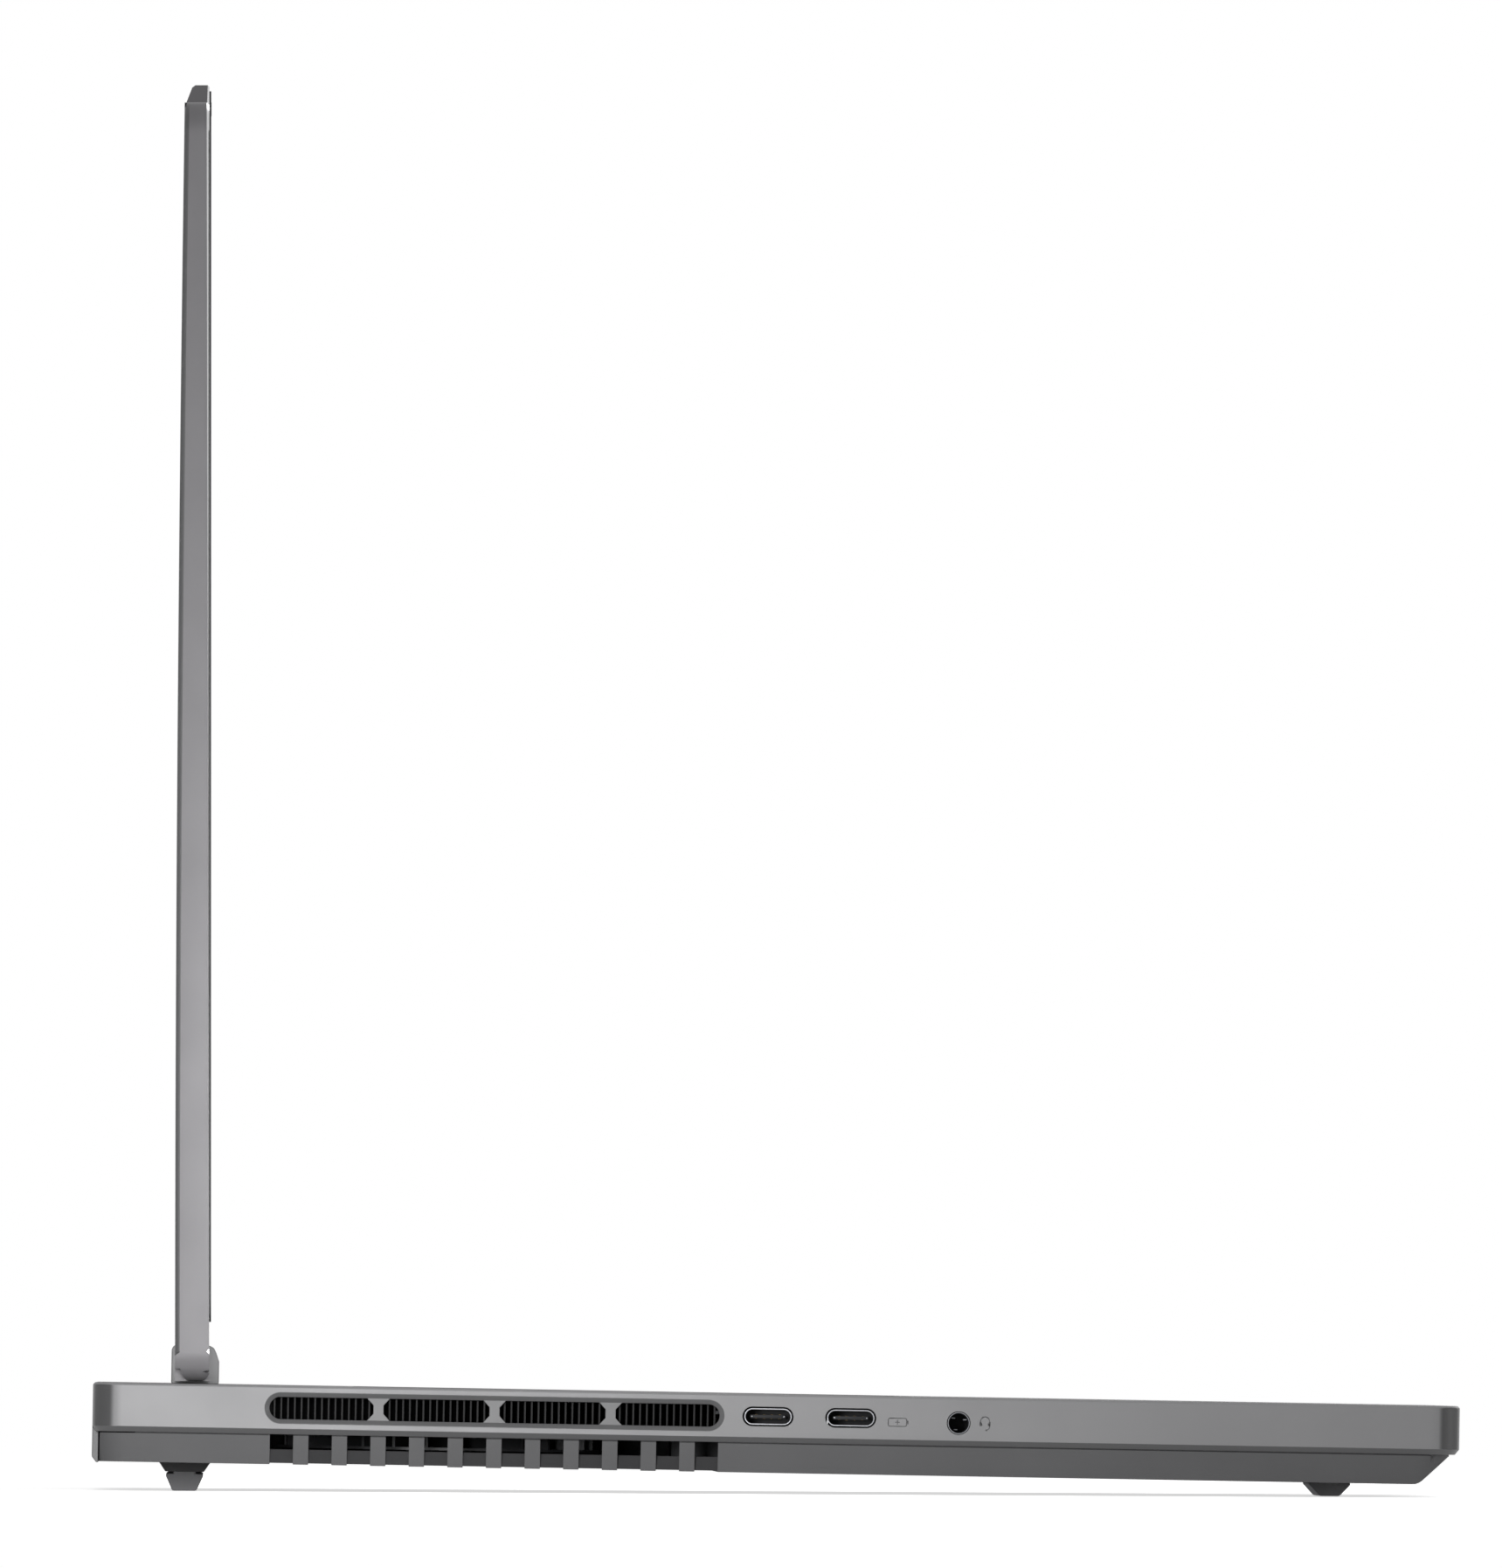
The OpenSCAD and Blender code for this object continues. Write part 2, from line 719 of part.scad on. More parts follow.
module foot_pedestal() {
    flare = 1.3;
    top_half = 3.6;
    along_x(rear_foot_l + 3) polygon([
        [rear_foot_y - top_half - flare, cover_bottom + 0.1],
        [rear_foot_y - top_half - flare * 0.75, cover_bottom - 0.3],
        [rear_foot_y - top_half, cover_bottom - pedestal_h],
        [rear_foot_y + top_half, cover_bottom - pedestal_h],
        [rear_foot_y + top_half + flare * 0.75, cover_bottom - 0.3],
        [rear_foot_y + top_half + flare, cover_bottom + 0.1]
    ]);
}

// Slots through the upper part of the cover's side, and the full-width recesses below them
module louvre_cuts() {
    half = louvre_w / 2;
    slot_bottom = cover_top - louvre_through;
    for (i = [0:louvre_count - 1]) {
        y = vent_y + (i - (louvre_count - 1) / 2) * louvre_pitch;
        block(hw - cover_step - 3, hw, y - half, y + half, slot_bottom, cover_top + cut);
        block(hw - recess_in, hw, y - half, y + half, cover_bottom - cut, slot_bottom + cut);
    }
}

// Shallow field under the fans, which leaves the ends of the side's ribs standing
module intake_field() {
    half = hw - recess_in + 0.05;
    field_half = (louvre_count - 1) / 2 * louvre_pitch + louvre_w / 2;
    block(-half, half, vent_y - field_half, vent_y + field_half, cover_bottom - cut, cover_bottom + field_h);
}

// Block of intake slots under a fan
module intake_cuts() {
    slot_w = 2.2;
    slot_pitch = 4.6;
    slot_l = 17;
    for (i = [-6:6], j = [-1:1]) {
        translate([fan_x + i * slot_pitch, fan_y + j * (slot_l + 3), cover_bottom - cut])
            linear_extrude(cover_t + 2 * cut) rotate(90) stadium(slot_l, slot_w);
    }
}

module speaker_cuts() {
    for (i = [-4:4]) {
        translate([speaker_x + i * 4, cover_front + front_slope + 9, cover_bottom - cut])
            linear_extrude(cover_t + 2 * cut) rotate(90) stadium(8, 1.6);
    }
}

module bottom_cover() {
    color([0.36, 0.36, 0.37]) on_deck() difference() {
        union() {
            difference() {
                cover_form();
                cover_hollow();
            }
            cover_lip();
            foot_pedestal();
        }
        // The rear wall stays open behind the trim
        block(-trim_w / 2 + 4, trim_w / 2 - 4, cover_rear - 2 * cover_t, hd, floor_z, cover_top + cut);
        // Grooves that hold the necks of the feet
        foot_groove(rear_foot_l, rear_foot_y, cover_bottom - pedestal_h, neck_rear_h);
        foot_groove(front_foot_l, front_foot_y, cover_bottom, neck_front_h);
        intake_field();
        both_sides() {
            louvre_cuts();
            intake_cuts();
            speaker_cuts();
            for (p = boss_points) {
                translate([p[0], p[1], cover_bottom - cut])
                    cylinder(r = screw_r + 0.2, h = cover_t + 2 * cut);
                translate([p[0], p[1], cover_bottom - cut])
                    cylinder(r = screw_head_r + 0.15, h = screw_head_t + 0.05 + cut);
            }
        }
    }
}

// ---------- feet and screws ----------

// Rubber strip with a narrow neck, cut off level with the table
module foot_strip(l, y, top, neck_top, half_top, half_bottom) {
    table = -deck_h - y * sin(tilt);
    edge = 0.3;
    difference() {
        on_deck() along_x(l) polygon([
            [y - foot_neck, neck_top], [y - foot_neck, top], [y - half_top + edge, top],
            [y - half_top, top - edge], [y - half_bottom, table - 0.1], [y + half_bottom, table - 0.1],
            [y + half_top, top - edge], [y + half_top - edge, top], [y + foot_neck, top],
            [y + foot_neck, neck_top]
        ]);
        block(-base_w, base_w, -base_d, base_d, -5, 0);
    }
}

module rear_foot() {
    top = cover_bottom - pedestal_h - 0.35;
    color([0.28, 0.28, 0.29])
        foot_strip(rear_foot_l - 2 * seat_clear, rear_foot_y, top,
            cover_bottom - pedestal_h + neck_rear_h - seat_clear, 3.55, 2.2);
}

module front_foot() {
    color([0.28, 0.28, 0.29])
        foot_strip(front_foot_l - 2 * seat_clear, front_foot_y, cover_bottom - 0.1,
            cover_bottom + neck_front_h - seat_clear, 4, 1.75);
}

module bottom_screws() {
    color([0.15, 0.15, 0.16]) on_deck() both_sides() for (p = boss_points) {
        translate([p[0], p[1], cover_bottom + 0.05]) difference() {
            union() {
                cylinder(r = screw_head_r, h = screw_head_t);
                cylinder(r = screw_r, h = screw_l);
            }
            translate([0, 0, -cut]) cylinder(r = 0.75, h = cut + 0.5, $fn = 6);
        }
    }
}

// ---------- boards ----------

module motherboard() {
    board_edge = hw - board_side_in;
    color([0.10, 0.25, 0.16]) on_deck() difference() {
        translate([0, 0, board_bottom]) linear_extrude(board_t) polygon([
            [-board_edge, board_front], [board_edge, board_front], [board_edge, board_step],
            [board_half, board_step], [board_half, board_rear - 22], [board_half - 14, board_rear],
            [-board_half + 14, board_rear], [-board_half, board_rear - 22],
            [-board_half, board_step], [-board_edge, board_step]
        ]);
        // Clearance round the screw bosses and under the jack and the flat port
        both_sides() for (p = boss_points) {
            translate([p[0], p[1], board_bottom - cut]) cylinder(r = boss_r + move_clear, h = board_t + 2 * cut);
        }
        block(-hw, -hw + case_wall + jack_l + 1, hd - jack_in - 4, hd - jack_in + 4,
            board_bottom - cut, board_top + cut);
        block(hw - flat_right_depth - 1, hw, flat_right_y - flat_w / 2 - 0.5, flat_right_y + flat_w / 2 + 0.5,
            board_bottom - cut, board_top + cut);
    }
}

module chip(x, y, w, d, h) {
    translate([x - w / 2, y - d / 2, board_bottom - h]) cube([w, d, h]);
}

module processor() {
    color([0.55, 0.56, 0.58]) on_deck() chip(-26, fan_y + 20, 30, 26, chip_h);
}

module graphics_chip() {
    color([0.45, 0.46, 0.48]) on_deck() chip(26, fan_y + 16, 34, 34, chip_h);
}

module memory_modules() {
    color([0.12, 0.30, 0.20]) on_deck() both_sides()
        translate([3, board_front + 4, board_bottom - 4]) {
            cube([memory_l, memory_d, 1.2]);
            for (i = [0:3]) {
                translate([3 + i * memory_l / 4.2, memory_d / 2, -1]) cube([12, 10, 1]);
            }
            translate([0, -2.5, 0]) cube([memory_l, 2.5, 4]);
        }
}

module storage_drive() {
    color([0.08, 0.20, 0.30]) on_deck() translate([board_half + 1, board_front + 6, board_bottom - 3]) {
        cube([drive_l, card_d, card_t]);
        for (x = [0.2, 0.55]) {
            translate([drive_l * x, 3, -1]) cube([14, card_d - 6, 1]);
        }
        translate([drive_l, 0, 0]) cube([6, card_d, 3]);
    }
}

module wireless_card() {
    color([0.20, 0.22, 0.24]) on_deck()
        translate([-board_half - wireless_l - 8, board_front + 6, board_bottom - 3]) {
            cube([wireless_l, card_d, card_t]);
            translate([4, 4, -1]) cube([14, card_d - 8, 1]);
            translate([wireless_l, 0, 0]) cube([6, card_d, 3]);
        }
}

// ---------- battery and speakers ----------

module battery_pack() {
    cells = 4;
    cell_w = (2 * battery_half - 4) / cells;
    color([0.10, 0.10, 0.11]) on_deck() {
        block(-battery_half, battery_half, battery_rear - 9, battery_rear, battery_bottom, battery_top - 1);
        for (i = [0:cells - 1]) {
            x = -battery_half + 2 + i * cell_w;
            block(x + 0.5, x + cell_w - 0.5, battery_front, battery_rear - 9, battery_bottom, battery_top);
        }
    }
}

module speaker(side) {
    rear = battery_rear - 8;
    front = battery_front + 5;
    color([0.09, 0.09, 0.10]) on_deck() to_side(side) difference() {
        block(speaker_x - speaker_w / 2, speaker_x + speaker_w / 2, front, rear, battery_bottom, speaker_top);
        translate([speaker_x, front + 14, battery_bottom - cut])
            linear_extrude(cut + 1) stadium(34, 15);
    }
}

module speaker_left() speaker(-1);
module speaker_right() speaker(1);

// ---------- cooling ----------

// Fins standing between two thin sheets, spaced along X
module fin_stack(w, d, h) {
    count = floor((w - fin_t) / fin_pitch);
    start = (w - count * fin_pitch - fin_t) / 2;
    cube([w, d, sink_sheet]);
    translate([0, 0, h - sink_sheet]) cube([w, d, sink_sheet]);
    for (i = [0:count]) {
        translate([start + i * fin_pitch, 0, sink_sheet / 2]) cube([fin_t, d, h - sink_sheet]);
    }
}

module heat_sink_side(side) {
    l = vent_l - 3;
    color([0.32, 0.32, 0.33]) on_deck() to_side(side)
        translate([hw - sink_side_in, vent_y - l / 2, sink_side_bottom]) rotate([0, 0, 90])
            fin_stack(l, sink_side_d, sink_side_top - sink_side_bottom);
}

module heat_sink_rear(side) {
    color([0.32, 0.32, 0.33]) on_deck() to_side(side)
        translate([fan_x - fan_half_x, sink_rear_front, sink_rear_bottom])
            fin_stack(2 * fan_half_x, sink_rear_back - sink_rear_front, fan_top - sink_rear_bottom);
}

module heat_sink_left() heat_sink_side(-1);
module heat_sink_right() heat_sink_side(1);
module heat_sink_rear_left() heat_sink_rear(-1);
module heat_sink_rear_right() heat_sink_rear(1);

// Flat pipe along a list of points, with round ends and elbows
module pipe_run(points, w) {
    for (i = [0:len(points) - 2]) {
        a = points[i];
        b = points[i + 1];
        translate(a) rotate(atan2(b[1] - a[1], b[0] - a[0])) translate([0, -w / 2])
            square([norm(b - a), w]);
    }
    for (p = points) {
        translate(p) circle(w / 2);
    }
}

module heat_pipes() {
    far = fan_x + fan_half_x - 4;
    near = fan_x - fan_half_x;
    row = sink_rear_back - 3;
    color([0.62, 0.36, 0.22]) on_deck() translate([0, 0, pipe_top - pipe_h]) linear_extrude(pipe_h)
        for (shift = [0, 6.2]) {
            slant = row - shift;
            drop = 18;
            in = near + 1 + shift * tan(22.5);
            pipe_run([
                [-far, slant], [-in, slant], [-in + drop, slant - drop],
                [in - drop, slant - drop], [in, slant], [far, slant]
            ], pipe_w);
        }
}

module cold_plate() {
    rear = sink_rear_back - 19;
    color([0.60, 0.38, 0.26]) on_deck()
        block(-48, 50, fan_y - 2, rear, pipe_top, board_bottom - chip_h);
}

// Sheets that close the gaps beside a fan up to the keyboard, the deck and the board
module duct_lips(x) {
    tray_rear = keys_rear + well_margin + frame_lap;
    tray_bottom = plate_top - plate_t;
    front = board_step + 0.3;
    block(x - fan_sheet, x, front, tray_rear + 2 * move_clear, fan_top - fan_sheet / 2, tray_bottom - 0.05);
    block(x - fan_sheet, x, tray_rear + move_clear, vent_y + vent_l / 2, fan_top - fan_sheet / 2,
        -deck_t - move_clear);
    block(x - fan_sheet, x, front, fan_front + fan_sheet / 2, fan_bottom, fan_top - fan_sheet / 4);
}

// Sheet-metal box with round intakes, open towards the two heat sinks, with a post for the rotor
module fan_housing(side) {
    x0 = fan_x - fan_half_x;
    l = fan_rear - fan_front;
    color([0.13, 0.13, 0.14]) on_deck() to_side(side) {
        translate([fan_x, fan_y, fan_bottom]) {
            linear_extrude(fan_sheet) difference() {
                square([2 * fan_half_x, l], center = true);
                difference() {
                    circle(rotor_r * 0.72);
                    circle(hub_r - 1);
                    for (a = [30:120:270]) {
                        rotate(a) translate([0, -1.5]) square([rotor_r, 3]);
                    }
                }
            }
            cylinder(r = post_r, h = fan_top - fan_bottom - 2.2);
        }
        translate([fan_x, fan_y, fan_top - fan_sheet]) linear_extrude(fan_sheet) difference() {
            square([2 * fan_half_x, l], center = true);
            circle(rotor_r * 0.62);
        }
        block(x0, x0 + fan_sheet, fan_front, fan_rear, fan_bottom, fan_top);
        duct_lips(x0 + 2 * fan_half_x);
        block(x0, x0 + 2 * fan_half_x, fan_front, fan_front + fan_sheet, fan_bottom, fan_top);
    }
}

module fan_housing_left() fan_housing(-1);
module fan_housing_right() fan_housing(1);

// Hub with a blind bore, raked blades and a thin disc that ties them
module fan_rotor(side) {
    low = fan_bottom + fan_sheet + rotor_gap;
    h = fan_top - fan_sheet - rotor_gap - low;
    cap = 0.8;
    disc = 0.5;
    color([0.08, 0.08, 0.09]) on_deck() to_side(side) translate([fan_x, fan_y, low]) {
        linear_extrude(h - cap) difference() {
            union() {
                circle(hub_r);
                for (i = [0:blade_count - 1]) {
                    rotate(i * 360 / blade_count) translate([hub_r - 1, 0]) rotate(-28)
                        square([(rotor_r - hub_r) * 0.98, blade_t]);
                }
            }
            circle(post_r + rotor_clear);
        }
        translate([0, 0, h - cap]) cylinder(r = hub_r, h = cap);
        linear_extrude(disc) difference() {
            circle(rotor_r);
            circle(hub_r - 1);
        }
    }
}

module fan_rotor_left() fan_rotor(-1);
module fan_rotor_right() fan_rotor(1);

// ---------- keyboard ----------

// Left edge of key number i in a row that starts at x0
function key_x(row, i, x0, unit) = i == 0 ? x0 : key_x(row, i - 1, x0, unit) + row[i - 1] * unit;

// Outlines of the keys of one row, larger on each side by grow. Only keys whose index is in pick are drawn.
module key_outlines(row, x0, unit, rear, depth, grow, pick) {
    for (i = pick) {
        w = row[i] * unit - key_gap;
        translate([key_x(row, i, x0, unit) + row[i] * unit / 2, rear - depth / 2])
            cut_rect(w + 2 * grow, depth - key_gap + 2 * grow, key_corner);
    }
}

function row_rear(n) = n == 0 ? keys_rear : keys_rear - function_v - (n - 1) * key_v;
function row_depth(n) = n == 0 ? function_v : key_v;
function all_keys(row) = [0:len(row) - 1];

// Both blocks of one row: the main keys, then the number pad
module row_outlines(row, pad, n, grow, pick) {
    key_outlines(row, keys_left, key_u, row_rear(n), row_depth(n), grow, pick);
    key_outlines(pad, pad_left, pad_u, row_rear(n), row_depth(n), grow, all_keys(pad));
}

module keycaps(row, pad, n, pick) {
    color([0.11, 0.11, 0.12]) on_deck() translate([0, 0, key_top - key_t]) linear_extrude(key_t)
        row_outlines(row, pad, n, 0, pick);
}

module function_keys() keycaps(function_row, pad_row, 0, all_keys(function_row));
module number_keys() keycaps(number_row, pad_row, 1, all_keys(number_row));
module upper_letter_keys() keycaps(upper_row, pad_row, 2, all_keys(upper_row));
module middle_letter_keys() keycaps(middle_row, pad_row, 3, all_keys(middle_row));
module lower_letter_keys() keycaps(lower_row, pad_row, 4, all_keys(lower_row));
module modifier_keys() {
    others = [for (i = all_keys(modifier_row)) if (i != space_index) i];
    keycaps(modifier_row, pad_last_row, 5, others);
}
module space_bar() keycaps(modifier_row, [], 5, [space_index]);

module keyboard_frame() {
    w = keys_w + 2 * (well_margin + frame_lap);
    d = keys_d + 2 * (well_margin + frame_lap);
    color([0.16, 0.16, 0.17]) on_deck() translate([0, 0, -deck_t - frame_t]) {
        linear_extrude(frame_t) difference() {
            translate([0, keys_rear - keys_d / 2]) square([w, d], center = true);
            row_outlines(function_row, pad_row, 0, key_side_clear, all_keys(function_row));
            row_outlines(number_row, pad_row, 1, key_side_clear, all_keys(number_row));
            row_outlines(upper_row, pad_row, 2, key_side_clear, all_keys(upper_row));
            row_outlines(middle_row, pad_row, 3, key_side_clear, all_keys(middle_row));
            row_outlines(lower_row, pad_row, 4, key_side_clear, all_keys(lower_row));
            row_outlines(modifier_row, pad_last_row, 5, key_side_clear, all_keys(modifier_row));
        }
        translate([0, keys_rear - keys_d / 2, plate_top + deck_t + frame_t])
            linear_extrude(-deck_t - frame_t - plate_top) difference() {
                square([w, d], center = true);
                square([w - 4, d - 4], center = true);
            }
    }
}

module keyboard_plate() {
    w = keys_w + 2 * (well_margin + frame_lap);
    d = keys_d + 2 * (well_margin + frame_lap);
    color([0.50, 0.51, 0.53]) on_deck()
        translate([-w / 2, keys_rear - keys_d / 2 - d / 2, plate_top - plate_t]) cube([w, d, plate_t]);
}

// ---------- touchpad and power button ----------

module touchpad() {
    color([0.33, 0.33, 0.34]) on_deck() translate([0, touchpad_y, touchpad_top - touchpad_t])
        linear_extrude(touchpad_t) round_rect(touchpad_w, touchpad_d, 3 - move_clear);
}

// Tray under the touchpad, hung from the deck
module touchpad_bracket() {
    w = touchpad_w + 2 * (move_clear + bracket_lap);
    d = touchpad_d + 2 * (move_clear + bracket_lap);
    color([0.62, 0.63, 0.64]) on_deck() translate([0, touchpad_y, 0]) difference() {
        block(-w / 2, w / 2, -d / 2, d / 2, bracket_top - bracket_t, -deck_t);
        block(-w / 2 + 2, w / 2 - 2, -d / 2 + 2, d / 2 - 2, bracket_top, -deck_t + cut);
    }
}

module power_button() {
    color([0.60, 0.60, 0.61]) on_deck() translate([0, button_y, button_top - button_t])
        cylinder(r = button_r, h = button_t);
}

// ---------- ports ----------

// Oval socket with a metal shell and a tongue, opening towards +X at x = 0
module oval_port() {
    translate([-oval_depth / 2, 0, 0]) difference() {
        along_x(oval_depth) stadium(oval_w, oval_h);
        translate([1, 0, 0]) along_x(oval_depth) stadium(oval_w - 2 * oval_wall, oval_h - 2 * oval_wall);
    }
    block(-oval_depth + 0.6, -1, -3.35, 3.35, -0.35, 0.35);
}

// Flat rectangular socket with a shell and an offset tongue, opening towards +X at x = 0
module flat_port(depth) {
    translate([-depth / 2, 0, 0]) difference() {
        along_x(depth) square([flat_w, flat_h], center = true);
        translate([1, 0, 0]) along_x(depth) square([flat_w - 0.8, flat_h - 0.8], center = true);
    }
    block(-depth + 0.6, -0.8, -5.6, 5.6, 0.2, 2);
}

module oval_port_left(inset) {
    color([0.70, 0.70, 0.71]) on_deck() translate([-hw + port_in, hd - inset, oval_z])
        mirror([1, 0, 0]) oval_port();
}

module oval_port_left_rear() oval_port_left(oval_port_1_in);
module oval_port_left_front() oval_port_left(oval_port_2_in);

module oval_port_rear() {
    color([0.70, 0.70, 0.71]) on_deck() translate([oval_rear_x, hd - port_in, rear_port_z])
        rotate([0, 0, 90]) oval_port();
}

module flat_port_right() {
    color([0.70, 0.70, 0.71]) on_deck()
        translate([hw - port_in, flat_right_y, flat_right_z]) flat_port(flat_right_depth);
}

module flat_ports_rear() {
    color([0.70, 0.70, 0.71]) on_deck() for (x = flat_rear_x) {
        translate([x, hd - port_in, rear_port_z]) rotate([0, 0, 90]) flat_port(flat_depth);
    }
}

module headphone_jack() {
    color([0.20, 0.20, 0.21]) on_deck() translate([-hw, hd - jack_in, jack_z]) difference() {
        union() {
            bore_x(jack_r + jack_ring, 0.15, case_wall + 1);
            block(case_wall + 0.2, case_wall + jack_l, -3, 3, -2.6, 2.4);
        }
        bore_x(jack_r, -cut, jack_l);
    }
}

module shutter_switch() {
    color([0.25, 0.25, 0.26]) on_deck() translate([hw, switch_y, jack_z + 0.3]) {
        translate([-case_wall / 2 - 0.15, 0, 0]) along_x(case_wall) stadium(switch_l, switch_h);
        block(-case_wall - 1.2, -case_wall - 0.3, -3.4, 3.4, -1.6, 1.6);
        translate([-case_wall, 0, 0]) along_x(0.8) stadium(switch_l - 0.4, switch_h - 0.4);
    }
}

// Socket block with a rectangular mouth, opening towards +Y at y = 0
module socket_block(w, h, depth, wall, core) {
    difference() {
        translate([0, -depth / 2, 0]) along_y(depth) square([w, h], center = true);
        translate([0, -depth / 2 + 1.2, 0]) along_y(depth) square([w - 2 * wall, h - 2 * wall], center = true);
    }
    block(-core / 2, core / 2, -depth + 0.6, -1, -0.5, 0.5);
}

module video_port() {
    color([0.66, 0.66, 0.67]) on_deck() translate([video_x, hd - port_in, rear_port_z])
        socket_block(video_w, video_h, 11, 0.5, video_w - 4);
}

module power_inlet() {
    color([0.12, 0.12, 0.13]) on_deck() translate([inlet_x, hd - port_in, rear_port_z])
        socket_block(inlet_w, inlet_h, 11, 0.6, 5);
}

// ---------- hinges ----------

module housing_outline(inset) {
    polygon([
        [housing_back - inset, -hinge_h], [housing_back - inset, housing_top - 0.7 - inset / 2],
        [housing_back - 0.5 - inset, housing_top - inset], [-2.6 + inset / 2, housing_top - inset],
        [-3.4 + inset, housing_top - 0.4 - inset], [-3.85 + inset, housing_top - 1.3 - inset / 2],
        [-housing_front + inset, 1.2], [-housing_front + inset, -hinge_h]
    ]);
}

module hinge_housing(side) {
    color([0.42, 0.42, 0.43]) on_deck() to_side(side) translate([hinge_x, hinge_y, hinge_h]) difference() {
        along_x(hinge_l) housing_outline(0);
        difference() {
            along_x(hinge_l - 2 * housing_wall) housing_outline(housing_wall);
            block(-hinge_l, hinge_l, -hinge_l, hinge_l, -hinge_h - cut, -hinge_h);
        }
        bore_x(pin_r + 0.4, 0, hinge_l);
    }
}

module hinge_housing_left() hinge_housing(-1);
module hinge_housing_right() hinge_housing(1);

// Knuckle, the tongue that carries it through the deck, and the foot screwed under the deck
module hinge_bracket(side) {
    foot_top = -hinge_h - deck_t;
    color([0.48, 0.49, 0.51]) on_deck() to_side(side) translate([hinge_x, hinge_y, hinge_h]) difference() {
        union() {
            bore_x(knuckle_r, -knuckle_l / 2, knuckle_l / 2);
            block(-knuckle_l / 2, knuckle_l / 2, -0.9, 0.9, foot_top - bracket_foot_t / 2, -pin_r - 0.4);
            block(-bracket_foot_l / 2, bracket_foot_l / 2, -5, 5, foot_top - bracket_foot_t, foot_top);
        }
        bore_x(pin_r + pin_clear, -knuckle_l, knuckle_l);
    }
}

module hinge_bracket_left() hinge_bracket(-1);
module hinge_bracket_right() hinge_bracket(1);

// Pin in the knuckle, the boss that grips it, and the plate that runs up behind the display
module hinge_arm(side) {
    boss_x = hinge_x + hinge_l / 2 + notch_gap + 1 + seat_clear;
    color([0.50, 0.51, 0.53]) on_lid() to_side(side) {
        bore_x(pin_r, hinge_x - knuckle_l / 2 - 0.8, boss_x + arm_l);
        bore_x(arm_r, boss_x, boss_x + arm_l);
        block(boss_x, boss_x + arm_plate_l, lid_back - lid_wall - arm_t - 0.3, lid_back - lid_wall - 0.3,
            0, arm_plate_h);
    }
}

module hinge_arm_left() hinge_arm(-1);
module hinge_arm_right() hinge_arm(1);

// ---------- lid ----------

// The lid's back is crowned: it thins towards its far edge
function lid_back_at(z) = lid_back - lid_thinning * pow(max(z, 0) / lid_top, 2);

// Side outline of the lid between two heights, its back moved inwards by inset
module lid_side(front, z0, z1, inset) {
    steps = 16;
    polygon(concat(
        [[front, z0]],
        [for (i = [0:steps]) let (z = z0 + (z1 - z0) * i / steps) [lid_back_at(z) - inset, z]],
        [[front, z1]]
    ));
}

module hinge_notches() {
    both_sides() block(hinge_x - hinge_l / 2 - notch_gap, hinge_x + hinge_l / 2 + notch_gap,
        -9, 9, -lid_chin - cut, notch_h);
}

// The ends of the lid's lower edge are rounded about the hinge axis, because the trough stops short of them
module chin_end_cuts() {
    both_sides() difference() {
        block(hw - trough_end - 0.6, hw + cut, -9, 9, -lid_chin - cut, -0.15);
        bore_x(hinge_h - 0.2, 0, base_w);
    }
}

// Sloping ledge above the lid's edge that holds the camera
module camera_ledge() {
    intersection() {
        along_x(base_w) polygon([
            [-lid_front, lid_top - 6], [lid_back_at(lid_top) - 0.05, lid_top - 6],
            [lid_back_at(lid_top) - 0.05, lid_top], [lid_back_at(lid_top) - 0.05, lid_top + ledge_h - 3.9],
            [0.69, lid_top + ledge_h - 0.46], [0.09, lid_top + ledge_h], [-lid_front + 0.3, lid_top + ledge_h],
            [-lid_front, lid_top + ledge_h - 0.3]
        ]);
        along_y(20) polygon([
            [-ledge_w / 2, lid_top - 6], [ledge_w / 2, lid_top - 6], [ledge_w / 2, lid_top],
            [ledge_w / 2 - ledge_slope, lid_top + ledge_h], [-ledge_w / 2 + ledge_slope, lid_top + ledge_h],
            [-ledge_w / 2, lid_top]
        ]);
    }
}

module lid_cover() {
    notch_inner = hinge_x - hinge_l / 2 - notch_gap - 1;
    notch_outer = hinge_x + hinge_l / 2 + notch_gap + 1;
    mid_z = (lid_top - lid_chin) / 2;
    color([0.55, 0.55, 0.56]) on_lid() difference() {
        union() {
            intersection() {
                along_x(base_w) lid_side(-lid_front, -lid_chin, lid_top, 0);
                translate([0, 0, mid_z]) along_y(20) round_rect(base_w, lid_top + lid_chin, lid_corner_r);
            }
            camera_ledge();
        }
        // Display pocket
        along_x(base_w - 2 * lid_rim) lid_side(-9, pocket_low, lid_top - lid_rim, lid_wall);
        // Chin channels that hold the hinge arms, and the seat of the chin strip
        along_x(2 * notch_inner) lid_side(-9, -chin_floor, pocket_low + cut, lid_wall);
        both_sides() translate([(notch_outer + hw - 7) / 2, 0, 0])
            along_x(hw - 7 - notch_outer) lid_side(-9, -chin_floor, pocket_low + cut, lid_wall);
        translate([0, -lid_front - 4 + chin_strip_t, chin_strip_z]) along_y(8)
            square([base_w - 2 * chin_strip_in, chin_strip_h + 2 * seat_clear], center = true);
        // Camera pocket and the holes that the hinge pins pass through
        block(-27, 27, -9, -0.35, lid_top - 5, lid_top + ledge_h - 1);
        bore_x(pin_r + 0.1, -hw + 20, hw - 20);
        hinge_notches();
        chin_end_cuts();
    }
}

module lid_chin_strip() {
    color([0.48, 0.48, 0.49]) on_lid() difference() {
        translate([0, -lid_front + chin_strip_t / 2, chin_strip_z]) along_y(chin_strip_t)
            square([base_w - 2 * (chin_strip_in + seat_clear), chin_strip_h], center = true);
        hinge_notches();
    }
}

